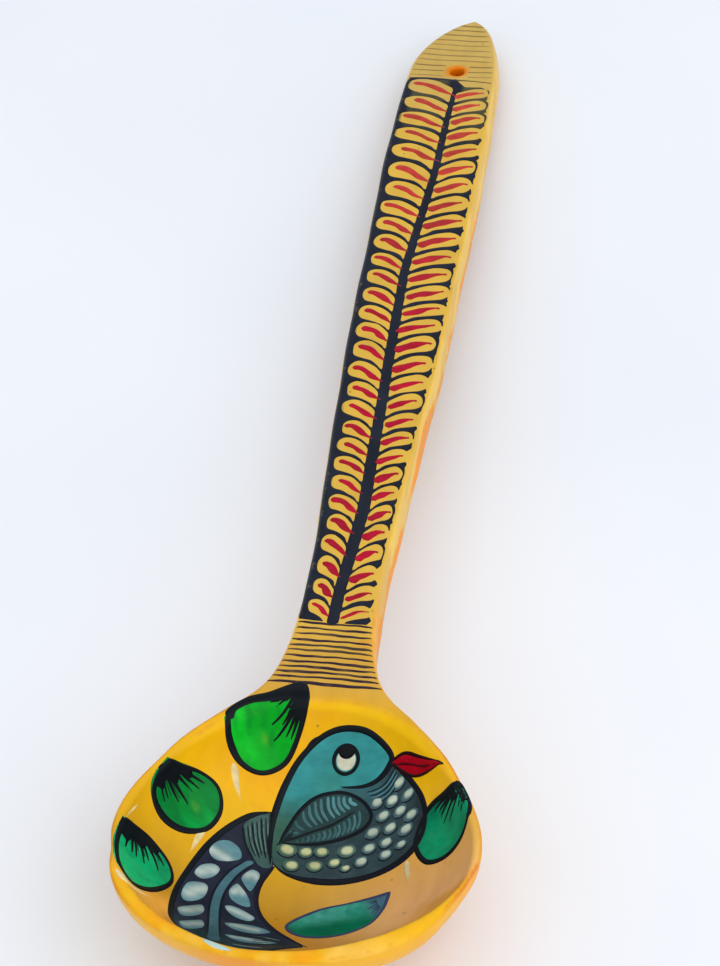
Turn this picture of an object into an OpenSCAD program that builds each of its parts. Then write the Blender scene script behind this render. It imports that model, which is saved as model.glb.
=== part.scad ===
// Hand-painted wooden serving spoon.
// One carved piece of wood: a round, deep bowl, a short flared neck and a flat
// handle that widens towards a lop-sided rounded tip with a hanging hole.
// The decoration is brushed on in thin coats: a navy leaf panel and crimson
// strokes on the handle, dark bands on the neck and the tip, and leaves with a
// bird in the bowl. Each colour of paint is a thin film that lies on the wood or
// on the coat below it.
// The spoon lies on its bowl and on the tip of its handle, +Z up, handle along +Y.
// The origin is the bottom centre of the spoon's bounding box.

/* [Bowl] */
// Height of the rim above the table
rim_height = 28.5; // [26:0.5:31]
// Depth of the hollow below the rim
hollow_depth = 22; // [17:0.5:22.5]
// Width of the bowl over the rim
bowl_width = 76; // [68:1:82]

/* [Handle] */
// Distance from the middle of the bowl to the end of the handle
handle_reach = 307; // [280:1:330]
// Thickness of the handle where it leaves the bowl
handle_thickness = 9.5; // [9:0.25:10.5]
// How far the sides of the handle swell out below its top face
side_swell = 1.5; // [0.5:0.1:2]

/* [Hanging hole] */
// Diameter of the hanging hole
hang_hole_d = 4; // [3:0.2:5]
// Distance of the hole's centre from the end of the handle
hang_hole_inset = 27; // [22:1:30]

/* [Paint] */
// Thickness of one brushed coat
coat = 0.15; // [0.1:0.05:0.25]
// Leaf pairs painted along the handle
leaf_pairs = 29; // [20:1:32]
// Bands painted across the neck
neck_band_count = 11; // [5:1:12]
// Bands painted across the tip
tip_band_count = 7; // [3:1:8]

/* [Hidden] */

near_end = -34;                       // near end of the bowl from its middle
plane_start = 56;                     // where the top face starts to slope down
tip_drop = rim_height - 8.5;          // how far the top face falls to the tip
slope_run = handle_reach - plane_start;
slope_a = atan(tip_drop / slope_run);
y_mid = (near_end + handle_reach) / 2;
kx = bowl_width / 76;                 // every width follows the bowl's width
kl = slope_run / 251;                 // lengths on the handle follow its reach
gap = 0.02;                           // air between one coat and the next
hole_x = 1.5;
hole_y = handle_reach - hang_hole_inset;

function clamp01(t) = max(0, min(1, t));
function smooth01(t) = let (c = clamp01(t)) c * c * (3 - 2 * c);

// Smooth curve through four neighbours, f from 0 to 1 between p1 and p2
function cr(p0, p1, p2, p3, f) = 0.5 * (2 * p1 + (p2 - p0) * f
    + (2 * p0 - 5 * p1 + 4 * p2 - p3) * f * f
    + (3 * p1 - p0 - 3 * p2 + p3) * f * f * f);

// Closed smooth curve through hand-placed points, n steps from one to the next
function loop_curve(p, n = 4) = let (m = len(p)) [for (i = [0:m - 1], j = [0:n - 1])
    cr(p[(i + m - 1) % m], p[i], p[(i + 1) % m], p[(i + 2) % m], j / n)];
// Open smooth curve through hand-placed points
function open_curve(p, n = 4) = let (m = len(p)) concat([for (i = [0:m - 2], j = [0:n - 1])
    cr(p[max(i - 1, 0)], p[i], p[i + 1], p[min(i + 2, m - 1)], j / n)], [p[m - 1]]);

// Half width of the bowl and neck, as [distance from the bowl's middle, half width]
plan = [[-10, 37], [-4, 38], [2, 37.3], [8, 35.2], [14, 32], [20, 28.4], [25, 24.3],
    [30, 19.6], [34, 15.4], [37.5, 12.8], [41, 11.2], [45, 10.1], [50, 9.2], [56, 8.6],
    [65, 8.2], [85, 8.6], [105, 9.4], [120, 10.1], [150, 11.4], [180, 12], [215, 12.6],
    [240, 12.9], [262, 12.6], [276, 12.1]];
function seg(y, i = 0) = i >= len(plan) - 2 || y < plan[i + 1][0] ? i : seg(y, i + 1);
function spline_w(y) = let (i = seg(y), a = plan[max(i - 1, 0)], b = plan[i],
    c = plan[i + 1], d = plan[min(i + 2, len(plan) - 1)], h = c[0] - b[0], f = (y - b[0]) / h,
    m1 = (c[1] - a[1]) / max(c[0] - a[0], 0.01) * h, m2 = (d[1] - b[1]) / max(d[0] - b[0], 0.01) * h)
    (2 * pow(f, 3) - 3 * f * f + 1) * b[1] + (pow(f, 3) - 2 * f * f + f) * m1
    + (3 * f * f - 2 * pow(f, 3)) * c[1] + (pow(f, 3) - f * f) * m2;
// station along the standard spoon for a place on this one
function std_y(y) = y <= plane_start ? y : plane_start + (y - plane_start) / kl;
// The near right of the bowl is a little less full than the near left
function trim(s) = 0.035 * smooth01((-6 - s) / 12);
function half_w(y) = let (s = std_y(y)) kx * (1 - trim(s)) * (
    s < -10 ? 37 * sqrt(max(0, 1 - pow((-10 - s) / 24, 2.1)))
    : s > 275 ? 12.1 * pow(max(0, 1 - pow((s - 275) / 32, 2)), 0.625)
    : spline_w(s));
// The tip leans to one side, as a knife leaves it
function mid_x(y) = let (s = std_y(y)) kx * (s < 265 ? -trim(s) * half_w(y) / kx / (1 - trim(s)) : 3.6 * pow((s - 265) / 42, 3));

// Radius of the hollow every 15 degrees, from the near end round to the neck
hollow_r = [32.2, 32.6, 33.6, 35.2, 36.8, 37.4, 36, 34, 32.9, 32.8, 33.6, 33.8, 33.2];
near_right = [0.6, 1.1, 1.5, 1.6, 1.2, 0.5];        // what the near right falls short by
function hr(i) = let (k = (i % 24 + 24) % 24) k <= 5 ? hollow_r[k] - near_right[k]
    : hollow_r[k <= 12 ? k : 24 - k];
function hollow_radius(a) = let (t = ((a % 360) + 360) % 360 / 15, i = floor(t))
    cr(hr(i - 1), hr(i), hr(i + 1), hr(i + 2), t - i);
cap = 0.93;                           // how much of a round cap the hollow is
cap_c = sqrt(1 - cap * cap);
function hollow_z(x, y) = let (u = x / kx, r = norm([u, y]) / hollow_radius(atan2(u, -y)))
    r >= 1 ? rim_height
    : rim_height - hollow_depth * (sqrt(1 - pow(r * cap, 2)) - cap_c) / (1 - cap_c);

// Height of the flat top face of the neck and handle
function face_z(y) = rim_height - tip_drop * max(0, (y - plane_start) / slope_run);
function top_z(x, y) = y > 40 ? face_z(y) : hollow_z(x, y);

// Depth of the underside below the top face
function handle_t(y) = let (s = std_y(y)) handle_thickness
    - 0.5 * clamp01((s - 56) / 240) ;
function tip_fade(y) = let (s = std_y(y)) s <= 297 ? 1 : sqrt(max(0, 1 - pow((s - 297) / 10, 6)));
function bowl_t(y) = y < 0 ? rim_height * pow(max(0, 1 - pow(-y / 34, 2.3)), 0.72)
    : y < 42 ? rim_height * sqrt(1 - pow(y / 42, 2)) : 0;
function under_t(y) = y < 0 ? bowl_t(y)
    : pow(pow(bowl_t(y), 5) + pow(handle_t(y), 5), 0.2) * tip_fade(y);
function squareness(y) = 1 - 0.52 * smooth01((y - 20) / 40);

// Stations: close together round both ends
stations = concat(
    [for (i = [1:9]) near_end + 24 * (1 - cos(i * 10))],
    [for (i = [1:15]) -10 + i * 3.317],
    [41.5, 44.5, 48, 52, 56, 60.5, 65],
    [for (i = [1:14]) 65 + i * (211 * kl - 9 * (1 - kl)) / 14],
    [for (i = [1:8]) 56 + kl * (220 + 31 * sin(i * 11.1))]);
fx = [0, 0.11, 0.22, 0.34, 0.47, 0.6, 0.72, 0.82, 0.9, 0.965, 1];
top_f = concat([for (i = [10:-1:1]) -fx[i]], fx);          // left edge to right edge
ntop = len(top_f);
under_a = [for (i = [1:17]) i * 10];                        // right edge round to left edge

function ring(y) = let (w = half_w(y), c = mid_x(y), t = under_t(y), e = squareness(y),
        sw = side_swell * kx * smooth01((y - 30) / 30) * (y > 200 ? tip_fade(y) : 1), ze = face_z(y))
    concat(
        [for (f = top_f) [c + w * f, y, top_z(c + w * f, y)]],
        [for (a = under_a) let (cs = cos(a), d = pow(sin(a), e))
            [c + sign(cs) * (w * pow(abs(cs), e) + sw * min(1, d / 0.65) * pow(abs(cs), 0.5)),
             y, max(0, ze - t * d)]]);
nring = ntop + len(under_a);

function body_points() = concat(
    [[0, near_end, rim_height]],
    [for (y = stations) each ring(y)],
    [[mid_x(handle_reach), handle_reach, face_z(handle_reach)]]);
// Triangles between two rings; the cut of each four-sided cell matches the coats above
function body_faces() = let (n = len(stations), last = 1 + n * nring) concat(
    [for (j = [0:nring - 1]) [0, 1 + j, 1 + (j + 1) % nring]],
    [for (i = [0:n - 2], j = [0:nring - 1]) let (a = 1 + i * nring + j, b = 1 + i * nring + (j + 1) % nring)
        each [[a, a + nring, b + nring], [a, b + nring, b]]],
    [for (j = [0:nring - 1]) [last, 1 + (n - 1) * nring + (j + 1) % nring, 1 + (n - 1) * nring + j]]);

module placed() { translate([0, -y_mid, 0]) children(); }

module spoon_body() {
    color("#E6B24A") placed() difference() {
        polyhedron(points = body_points(), faces = body_faces(), convexity = 6);
        translate([hole_x, hole_y, -5]) cylinder(d = hang_hole_d, h = 40, $fn = 64);
    }
}

// ---- paint on the flat top face of the handle ----
module on_handle(level = 0) {
    placed() translate([0, plane_start, rim_height]) rotate([-slope_a, 0, 0])
        translate([0, 0, gap + level * (coat + gap)]) linear_extrude(coat) children();
}

panel_end = 219.5 * kl;               // length of the leaf panel on the slope
pitch = (panel_end - 9) / leaf_pairs;
function along_w(s) = half_w(plane_start + s * cos(slope_a));
// One leaf of each side: [distance out from the stem, distance along the handle]
leaf_left = [[0, 0], [0.1, 2.8], [0.4, 5.2], [1.3, 7.2], [3, 8.7], [5, 9.1], [7, 8.7],
    [8.3, 7.4], [8.5, 6], [7.4, 4.8], [5.2, 3.9], [3, 2.6], [1.3, 1.2]];
leaf_right = [[0, 0], [0.1, 2.8], [0.4, 5.1], [1.9, 6.8], [4, 8], [6.2, 8.5], [8, 8],
    [8.6, 6.4], [8.3, 4.6], [6.8, 3.5], [4.8, 2.9], [2.6, 2.1], [1.2, 1]];
function leaf_at(shape, side, i) = let (s0 = 0.8 + i * pitch, k = (along_w(s0 + 5) - 2.6 * kx) / 8.6)
    [for (p = shape) [side * (1.3 * kx + p[0] * k), s0 + p[1] * pitch / 7.3]];
function stroke_at(side, i) = let (s0 = 0.8 + i * pitch, k = (along_w(s0 + 5) - 2.6 * kx) / 8.6, q = pitch / 7.3)
    side < 0 ? [for (p = [[1.1, 3.2], [3.2, 5.6], [5.6, 7.1], [6.9, 7.2], [5.6, 6.1], [3.3, 4.5]])
        [-(1.3 * kx + p[0] * k), s0 + p[1] * q]]
    : [for (p = [[0.9, 3.2], [3, 4.8], [5.4, 6], [7.6, 6.4], [5.6, 5], [2.8, 3.5]])
        [1.3 * kx + p[0] * k, s0 + p[1] * q]];

module handle_leaf_panel() {
    ns = 24;
    edge = concat([for (i = [0:ns]) let (s = i * panel_end / ns) [-(along_w(s) - 0.15), s]],
        [for (i = [ns:-1:0]) let (s = i * panel_end / ns) [along_w(s) - 0.9 * kx, s]]);
    leaves = [for (i = [0:leaf_pairs - 1]) each [loop_curve(leaf_at(leaf_left, -1, i), 2),
        loop_curve(leaf_at(leaf_right, 1, i), 2)]];
    nl = len(leaves[0]);
    pts = concat(edge, [for (l = leaves) each l]);
    paths = concat([[for (i = [0:len(edge) - 1]) i]],
        [for (k = [0:len(leaves) - 1]) [for (i = [0:nl - 1]) len(edge) + k * nl + i]]);
    color("#2B3345") on_handle() polygon(pts, paths, convexity = 10);
}

module handle_leaf_strokes() {
    color("#B5204A") on_handle() for (i = [0:leaf_pairs - 1], side = [-1, 1])
        polygon(loop_curve(stroke_at(side, i), 2));
}

// Bands run across the top face and droop a little at the right
module band(s, w, lean, inset) {
    n = 8;
    x0 = -along_w(s) + inset + mid_x(plane_start + s);
    x1 = along_w(s) - inset + mid_x(plane_start + s);
    mid = [for (i = [0:n]) let (f = i / n) [x0 + (x1 - x0) * f, s - lean * f * f]];
    polygon(concat([for (p = mid) [p[0], p[1] + w / 2]], [for (i = [n:-1:0]) [mid[i][0], mid[i][1] - w / 2]]));
}

module tip_bands() {
    color("#6B5A3A") on_handle() {
        band(panel_end + 0.9, 0.8, -0.4, 0.4);
        for (i = [0:tip_band_count - 1]) band(panel_end + 9.4 + i * 2.2 * 7 / tip_band_count, 0.7, 0.3, 0.7);
    }
}

module neck_bands() {
    color("#3B2A3A") placed() translate([0, 0, rim_height + gap]) linear_extrude(coat)
        for (i = [0:neck_band_count - 1]) {
            y = 38 + i * 16.5 / (neck_band_count - 1);
            w = half_w(y) - 0.5;
            t = i == 0 ? 0.5 : 0.35;
            polygon(concat([for (k = [0:8]) let (f = k / 4 - 1) [w * f, y + t - 0.45 * pow((f + 1) / 2, 2)]],
                [for (k = [8:-1:0]) let (f = k / 4 - 1) [w * f, y - t - 0.45 * pow((f + 1) / 2, 2)]]));
        }
}

// ---- paint in the hollow of the bowl ----
// A coat follows the wood: the cell pattern of the top of the body, lifted and closed
bowl_stations = [for (y = stations) if (y < 50) y];
module coat_sheet(level) {
    n = len(bowl_stations);
    lift = gap + level * (coat + gap);
    grid = [for (y = bowl_stations) let (w = half_w(y)) [for (f = top_f) [w * f, y, top_z(w * f, y) + lift]]];
    low = [for (r = grid) each r];
    high = [for (p = low) [p[0], p[1], p[2] + coat]];
    m = n * ntop;
    faces = concat(
        [for (i = [0:n - 2], j = [0:ntop - 2]) let (a = i * ntop + j, b = a + 1, c = a + ntop, d = c + 1)
            each [[a, d, c], [a, b, d], [m + a, m + c, m + d], [m + a, m + d, m + b]]],
        [for (j = [0:ntop - 2]) each [[j, m + j + 1, j + 1], [j, m + j, m + j + 1]]],
        [for (j = [0:ntop - 2]) let (a = (n - 1) * ntop + j) each [[a, m + a + 1, m + a], [a, a + 1, m + a + 1]]],
        [for (i = [0:n - 2]) let (a = i * ntop, c = a + ntop) each [[a, m + c, m + a], [a, c, m + c]]],
        [for (i = [0:n - 2]) let (a = i * ntop + ntop - 1, c = a + ntop) each [[a, m + c, c], [a, m + a, m + c]]]);
    polyhedron(points = concat(low, high), faces = faces, convexity = 6);
}
module in_bowl(level) {
    placed() resize([0, 0, 0]) intersection() {
        scale([kx, 1, 1]) translate([0, 0, -5]) linear_extrude(60)
            offset(delta = 0.05) offset(delta = -0.12) offset(delta = 0.07) children();
        coat_sheet(level);
    }
}

// Leaves as closed outlines in plan, tip first
leaves = [
    [[-4.5, 36.5], [-11, 33.5], [-17.5, 29], [-19, 25.5], [-17, 23], [-12, 22.2], [-7, 24], [-4, 28.5]],
    [[-30.4, 13.8], [-32, 8], [-29.5, 4.8], [-25.5, 5], [-21, 8.8], [-19, 13.6], [-22.5, 17], [-27, 17]],
    [[-35.2, -2.7], [-35.6, -8.8], [-33.8, -14.8], [-29.8, -14.9], [-27.3, -10.6], [-26.7, -6.3], [-28.8, -2.4], [-32.2, -0.9]],
    [[31.8, 12.4], [28, 13.6], [24.8, 12.5], [22.6, 7], [24, 3], [27, 1.4], [31.5, 3], [33.8, 6.5]],
    [[18.4, -2.8], [12, -4], [5, -5.4], [-0.5, -9], [-2.4, -12.6], [3, -14.8], [9, -14], [15, -9.6]]];
head = [[-8.9, 9], [-8.7, 15], [-7.8, 20], [-5.6, 24.4], [-1.5, 27.9], [3.5, 30], [8.5, 29.8], [12.6, 27.8],
    [15.4, 24.8], [15.6, 22.6], [12.4, 21.6], [7, 21.6], [2, 21.4], [-2.2, 19], [-4.6, 15.4], [-5.8, 11]];
beak = [[15.8, 24.6], [19, 23.6], [23.5, 21], [27, 18.6], [23, 19.2], [18.5, 20.8], [15.8, 22.4]];
breast = [[-8.2, 5.4], [-6, 9.5], [-4.8, 14], [-2.4, 18], [2, 20.8], [8, 21], [14, 21], [19.5, 20.6], [23, 18], [24.8, 13.5],
    [23.8, 7.6], [18.6, 4], [10, 2], [1, 1.8], [-5, 3]];
wing = [[-6, 10], [-3.6, 14.2], [0.2, 18], [4, 20.2], [8.6, 19.6], [12, 16.4], [10.4, 12.8], [4, 10.6], [-1.5, 9.6]];
tail = [[-15.8, 12], [-20.6, 5.4], [-24, -2], [-25.2, -9], [-24.6, -17], [-21.6, -23.6], [-12.6, -23.6], [-4, -21], [1.6, -19],
    [-3.6, -13], [-8, -7], [-9.4, -2], [-8, 4], [-8.8, 9], [-8.8, 15]];

module outline_of(p, w = 0.45) {
    difference() { offset(delta = w) polygon(p); offset(delta = -w) polygon(p); }
}
// A tapered brush stroke along a smooth curve
module stroke(p, w0, w1) {
    c = open_curve(p, 4); n = len(c) - 1;
    nrm = [for (i = [0:n]) let (a = c[max(i - 1, 0)], b = c[min(i + 1, n)], d = b - a) [-d[1], d[0]] / max(norm(d), 0.01)];
    polygon(concat([for (i = [0:n]) c[i] + nrm[i] * (w0 + (w1 - w0) * i / n) / 2],
        [for (i = [n:-1:0]) c[i] - nrm[i] * (w0 + (w1 - w0) * i / n) / 2]));
}

module leaf_coats() {
    color("#0B8A44") in_bowl(0) for (l = leaves) polygon(loop_curve(l, 2));
}
module leaf_linework() {
    color("#16202A") in_bowl(2) for (l = leaves) {
        outline_of(loop_curve(l, 2), 0.6);
        // barbs fan out from the tip of the leaf
        c = (l[3] + l[4] + l[5]) / 3;
        for (k = [1, 2, 4, 6]) stroke([l[0] * 0.96 + c * 0.04, (l[0] + c + l[k]) / 3, l[k] * 0.72 + c * 0.28], 1, 0.35);
    }
}
module bird_tail_coat() {
    color("#4A6E84") in_bowl(0) difference() { polygon(loop_curve(tail, 2)); offset(delta = 0.1) polygon(loop_curve(head, 2));
        offset(delta = 0.1) polygon(loop_curve(breast, 2)); for (l = leaves) offset(delta = 0.1) polygon(loop_curve(l, 2)); }
}
module bird_breast_coat() {
    color("#3F5A5C") in_bowl(0) difference() { polygon(loop_curve(breast, 2)); offset(delta = 0.1) polygon(loop_curve(head, 2));
        offset(delta = 0.1) polygon(loop_curve(wing, 2)); offset(delta = 0.1) polygon(loop_curve(beak, 2));
        for (l = leaves) offset(delta = 0.1) polygon(loop_curve(l, 2)); }
}
module bird_wing_coat() {
    color("#25383A") in_bowl(0) difference() { polygon(loop_curve(wing, 2)); offset(delta = 0.1) polygon(loop_curve(head, 2)); }
}
module bird_head_coat() {
    color("#4A95A0") in_bowl(0) polygon(loop_curve(head, 2));
}
module tail_marks() {
    color("#9FC0BE") in_bowl(1) for (i = [0:5]) {
        translate([-19.5 - i * 0.5, 4 - i * 4.4]) rotate(-12) scale([1.7, 1]) circle(d = 2.6, $fn = 14);
        translate([-12 + i * 0.8, 0.5 - i * 4]) rotate(14) scale([1.7, 1]) circle(d = 2.4, $fn = 14);
    }
}
scale_marks = [[18.3, 19.4], [14.4, 18.2], [20.8, 16.8], [17, 16.4], [14.8, 14.2], [19, 13.6], [22.2, 13.4], [12.8, 11.4],
    [16.6, 11.2], [20.4, 10.4], [13, 8.4], [17, 8], [8.6, 8.2], [4.6, 8], [0.6, 8], [-3.4, 7.6], [11.2, 5.4], [15.6, 5.2],
    [6.6, 5.2], [2.2, 5], [-2, 4.8]];
module bird_scale_marks() {
    color("#E8E0C4") in_bowl(1) for (p = scale_marks) translate(p) rotate(11) circle(d = 1.1, $fn = 14);
}
module bird_linework() {
    color("#16202A") in_bowl(2) {
        difference() { outline_of(loop_curve(head, 2), 0.55); circle(d = 0.01, $fn = 8); }
        difference() { outline_of(loop_curve(breast, 2), 0.5); polygon(loop_curve(head, 2)); polygon(loop_curve(leaves[3], 2)); }
        outline_of(loop_curve(wing, 2), 0.4);
        difference() { outline_of(loop_curve(tail, 2), 0.5); polygon(loop_curve(breast, 2)); polygon(loop_curve(leaves[4], 2)); }
        difference() { outline_of(loop_curve(beak, 2), 0.25); polygon(loop_curve(head, 2)); }
        // barbs of the wing
        for (i = [0:5]) stroke([[-2 + i * 2, 12.4 + i * 0.3], [-0.9 + i * 1.9, 14.6 + i * 0.3], [0.5 + i * 1.7, 16.2 + i * 0.35]], 0.8, 0.45);
        // midrib of the tail
        stroke([[-14.2, 2.6], [-15.2, -3], [-16.5, -10.4], [-17.2, -19.6]], 1.4, 0.8);
        // collar of fine lines between head and tail
        for (i = [0:3]) stroke([[-10.2 - i * 1.2, 12.2 - i * 0.5], [-10.3 - i * 1.15, 8], [-9.7 - i * 1.05, 4.3]], 0.45, 0.4);
    }
}
module bird_beak() {
    color("#B30A30") in_bowl(1) polygon(loop_curve(beak, 2));
}
module bird_eye_white() {
    color("#D8DCC8") in_bowl(1) difference() { translate([5.8, 26]) circle(d = 4.4, $fn = 24); translate([5.8, 26.9]) circle(d = 2, $fn = 20); }
}
module bird_eye_pupil() {
    color("#10181E") in_bowl(1) translate([5.8, 26.9]) circle(d = 1.9, $fn = 20);
}
module highlight_strokes() {
    color("#F0EBD8") in_bowl(1) {
        stroke([[-17.8, 21], [-16.8, 18.4], [-15, 15.6]], 0.5, 0.9);
        stroke([[-22.6, 6.2], [-23.7, 3.7], [-24.2, 1]], 0.8, 0.5);
        stroke([[-31.6, -17.6], [-29.6, -18.6], [-27.6, -19.2]], 0.5, 0.8);
        stroke([[21, 3.4], [21.6, 1], [22, -1.4]], 0.6, 0.4);
    }
}

spoon_body();
handle_leaf_panel();
handle_leaf_strokes();
tip_bands();
neck_bands();
leaf_coats();
leaf_linework();
bird_tail_coat();
bird_breast_coat();
bird_wing_coat();
bird_head_coat();
tail_marks();
bird_scale_marks();
bird_linework();
bird_beak();
bird_eye_white();
bird_eye_pupil();
highlight_strokes();
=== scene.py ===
import math

import bpy
import numpy as np
from mathutils import Matrix, Vector
from mathutils.geometry import delaunay_2d_cdt


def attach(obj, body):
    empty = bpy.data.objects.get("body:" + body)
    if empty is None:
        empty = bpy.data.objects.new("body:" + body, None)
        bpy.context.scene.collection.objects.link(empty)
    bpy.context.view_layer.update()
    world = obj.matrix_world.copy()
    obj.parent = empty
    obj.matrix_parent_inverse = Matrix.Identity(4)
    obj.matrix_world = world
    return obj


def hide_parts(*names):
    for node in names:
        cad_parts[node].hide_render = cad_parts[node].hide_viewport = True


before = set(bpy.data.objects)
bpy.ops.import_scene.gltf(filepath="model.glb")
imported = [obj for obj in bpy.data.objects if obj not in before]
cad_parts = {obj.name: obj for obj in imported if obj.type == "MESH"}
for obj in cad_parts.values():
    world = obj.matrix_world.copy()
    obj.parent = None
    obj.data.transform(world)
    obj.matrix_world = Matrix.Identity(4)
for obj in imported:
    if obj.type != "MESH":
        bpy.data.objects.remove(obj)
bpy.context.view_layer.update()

# ---------------------------------------------------------------------------
# Shape of the spoon, in millimetres, with y = 0 at the middle of the bowl
# ---------------------------------------------------------------------------
MM = 0.001
YM = 136.5
RIM, HOLLOW = 28.5, 22.0
NEAR, FAR = -34.0, 307.0
SLOPE = math.atan(20.0 / 251.0)
PLAN = np.array([[-10, 37], [-4, 38], [2, 37.3], [8, 35.2], [14, 32], [20, 28.4], [25, 24.3], [30, 19.6],
                 [34, 15.4], [37.5, 12.8], [41, 11.2], [45, 10.1], [50, 9.2], [56, 8.6], [65, 8.2], [85, 8.6],
                 [105, 9.4], [120, 10.1], [150, 11.4], [180, 12], [215, 12.6], [240, 12.9], [262, 12.6],
                 [276, 12.1]], float)
HOLLOW_R = np.array([32.2, 32.6, 33.6, 35.2, 36.8, 37.4, 36, 34, 32.9, 32.8, 33.6, 33.8, 33.2])
NEAR_RIGHT = np.array([0.6, 1.1, 1.5, 1.6, 1.2, 0.5])
CAP = 0.93
CAP_C = math.sqrt(1 - CAP * CAP)


def sm01(t):
    t = np.clip(t, 0, 1)
    return t * t * (3 - 2 * t)


def trim(s):
    """The near right of the bowl is a little less full than the near left"""
    return 0.035 * sm01((-6 - np.asarray(s, float)) / 12)


def half_w(s):
    s = np.asarray(s, float)
    ys, ws = PLAN[:, 0], PLAN[:, 1]
    i = np.clip(np.searchsorted(ys, s, side="right") - 1, 0, len(ys) - 2)
    a, d = np.maximum(i - 1, 0), np.minimum(i + 2, len(ys) - 1)
    h = ys[i + 1] - ys[i]
    f = (s - ys[i]) / h
    m1 = (ws[i + 1] - ws[a]) / np.maximum(ys[i + 1] - ys[a], 0.01) * h
    m2 = (ws[d] - ws[i]) / np.maximum(ys[d] - ys[i], 0.01) * h
    mid = (2 * f**3 - 3 * f**2 + 1) * ws[i] + (f**3 - 2 * f**2 + f) * m1 \
        + (3 * f**2 - 2 * f**3) * ws[i + 1] + (f**3 - f**2) * m2
    near = 37 * np.sqrt(np.clip(1 - (np.clip(-10 - s, 0, 24) / 24) ** 2.1, 0, 1))
    far = 12.1 * np.clip(1 - ((s - 275) / 32) ** 2, 0, 1) ** 0.625
    return (1 - trim(s)) * np.where(s < -10, near, np.where(s > 275, far, mid))


def mid_x(s):
    return 3.6 * (np.clip(np.asarray(s, float) - 265, 0, None) / 42) ** 3 - trim(s) * half_w(s) / (1 - trim(s))


def face_z(y):
    return RIM - 20.0 * np.clip((np.asarray(y, float) - 56) / 251.0, 0, None)


def under_t(y):
    y = np.asarray(y, float)
    handle = 9.5 - 0.5 * np.clip((y - 56) / 240, 0, 1)
    near = RIM * np.clip(1 - (np.clip(-y, 0, 34) / 34) ** 2.3, 0, 1) ** 0.72
    far = RIM * np.sqrt(np.clip(1 - (np.clip(y, 0, 42) / 42) ** 2, 0, 1))
    fade = np.sqrt(np.clip(1 - (np.clip(y - 297, 0, 10) / 10) ** 6, 0, 1))
    return np.where(y < 0, near, (far**5 + handle**5) ** 0.2 * fade)


def hollow_r(phi):
    full = np.concatenate([HOLLOW_R, HOLLOW_R[-2:0:-1]])
    full[:6] -= NEAR_RIGHT
    t = (np.degrees(phi) % 360) / 15.0
    i = np.floor(t).astype(int) % 24
    f = t - np.floor(t)
    p0, p1, p2, p3 = (full[(i + k) % 24] for k in (-1, 0, 1, 2))
    return 0.5 * (2 * p1 + (p2 - p0) * f + (2 * p0 - 5 * p1 + 4 * p2 - p3) * f**2
                  + (3 * p1 - p0 - 3 * p2 + p3) * f**3)


def rho(x, y):
    return np.hypot(x, y) / hollow_r(np.arctan2(x, -y))


def top_z(x, y):
    r = rho(x, y)
    z = RIM - HOLLOW * (np.sqrt(np.clip(1 - (r * CAP) ** 2, CAP_C**2, 1)) - CAP_C) / (1 - CAP_C)
    return np.where(y > 40, face_z(y), np.where(r >= 1, RIM, z))


def carve(x, y, z):
    """Slow unevenness that a knife and sandpaper leave along the handle and the bowl's outside"""
    return 0.10 * np.sin(y * 0.105 + 1.1 * np.sign(x) + 0.3) + 0.07 * np.sin(y * 0.231 + x * 0.11 + 2.0) \
        + 0.05 * np.sin(y * 0.047 + z * 0.2)


def raw_side(x, y, z):
    w = np.maximum(half_w(y), 0.9)
    t = np.maximum(under_t(y), 0.9)
    p = 2.0 / (1 - 0.52 * sm01((y - 20) / 40))
    q = np.maximum((face_z(y) - z) / t, 0)
    sw = 1.5 * sm01((y - 30) / 30) * np.where(y > 290, np.sqrt(np.clip(1 - ((y - 290) / 17) ** 4, 0, 1)), 1)
    u = np.abs(x - mid_x(y)) / (w + sw * np.minimum(1, q / 0.65))
    return (u**p + q**p) ** (1 / p) - 1


def raw_hollow(x, y, z):
    q = np.maximum((RIM - z) / HOLLOW * (1 - CAP_C) + CAP_C, 0)
    return 1 - np.sqrt((rho(x, y) * CAP) ** 2 + q**2)


def rmax(a, b, r):
    return np.minimum(-r, np.maximum(a, b)) + np.hypot(np.maximum(a + r, 0), np.maximum(b + r, 0))


HOLE = (1.5, 280.0, 2.0)


def combine(f1, f3, x, y, z):
    """Rounded union of the fields: f1 side and underside, f3 the hollow, with the top face, ends and hole"""
    f1 = np.clip(f1, -8, 8) + carve(x, y, z) * sm01((y + 20) / 60) * sm01((305 - y) / 20)
    f2 = (z - face_z(y)) * math.cos(SLOPE)
    edge = 0.7 + 0.35 * sm01((y - 30) / 20)
    f = rmax(f1, f2, edge)
    f = np.maximum(f, np.maximum(NEAR - y, y - FAR))
    f = rmax(f, np.clip(f3, -8, 8), 0.75 + 1.9 * sm01((y - 12) / 18))
    f4 = HOLE[2] - np.hypot(x - HOLE[0], y - HOLE[1])
    return np.where(y > 260, rmax(f, f4, 0.55), f)


def field(P):
    """Signed distance, near the surface, of points P in mm; negative inside the wood"""
    e = 0.03
    x, y, z = P[:, 0], P[:, 1], P[:, 2]
    out = []
    for raw in (raw_side, raw_hollow):
        c = raw(x, y, z)
        g = np.stack([raw(x + e, y, z) - c, raw(x, y + e, z) - c, raw(x, y, z + e) - c]) / e
        out.append(c / np.maximum(np.sqrt((g**2).sum(0)), 1e-3))
    return combine(out[0], out[1], x, y, z)


def field_grad(P):
    e = 0.05
    f = field(P)
    g = np.stack([field(P + d) - f for d in np.eye(3) * e], 1) / e
    return f, g


def onto_surface(P, steps=4):
    """Points moved to the wood's surface, and the surface's normals there"""
    for _ in range(steps):
        f, g = field_grad(P)
        n2 = np.maximum((g**2).sum(1), 0.05)
        P = P - np.clip(f, -0.6, 0.6)[:, None] * g / n2[:, None]
    f, g = field_grad(P)
    n = g / np.maximum(np.linalg.norm(g, axis=1), 1e-6)[:, None]
    return P, n


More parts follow.
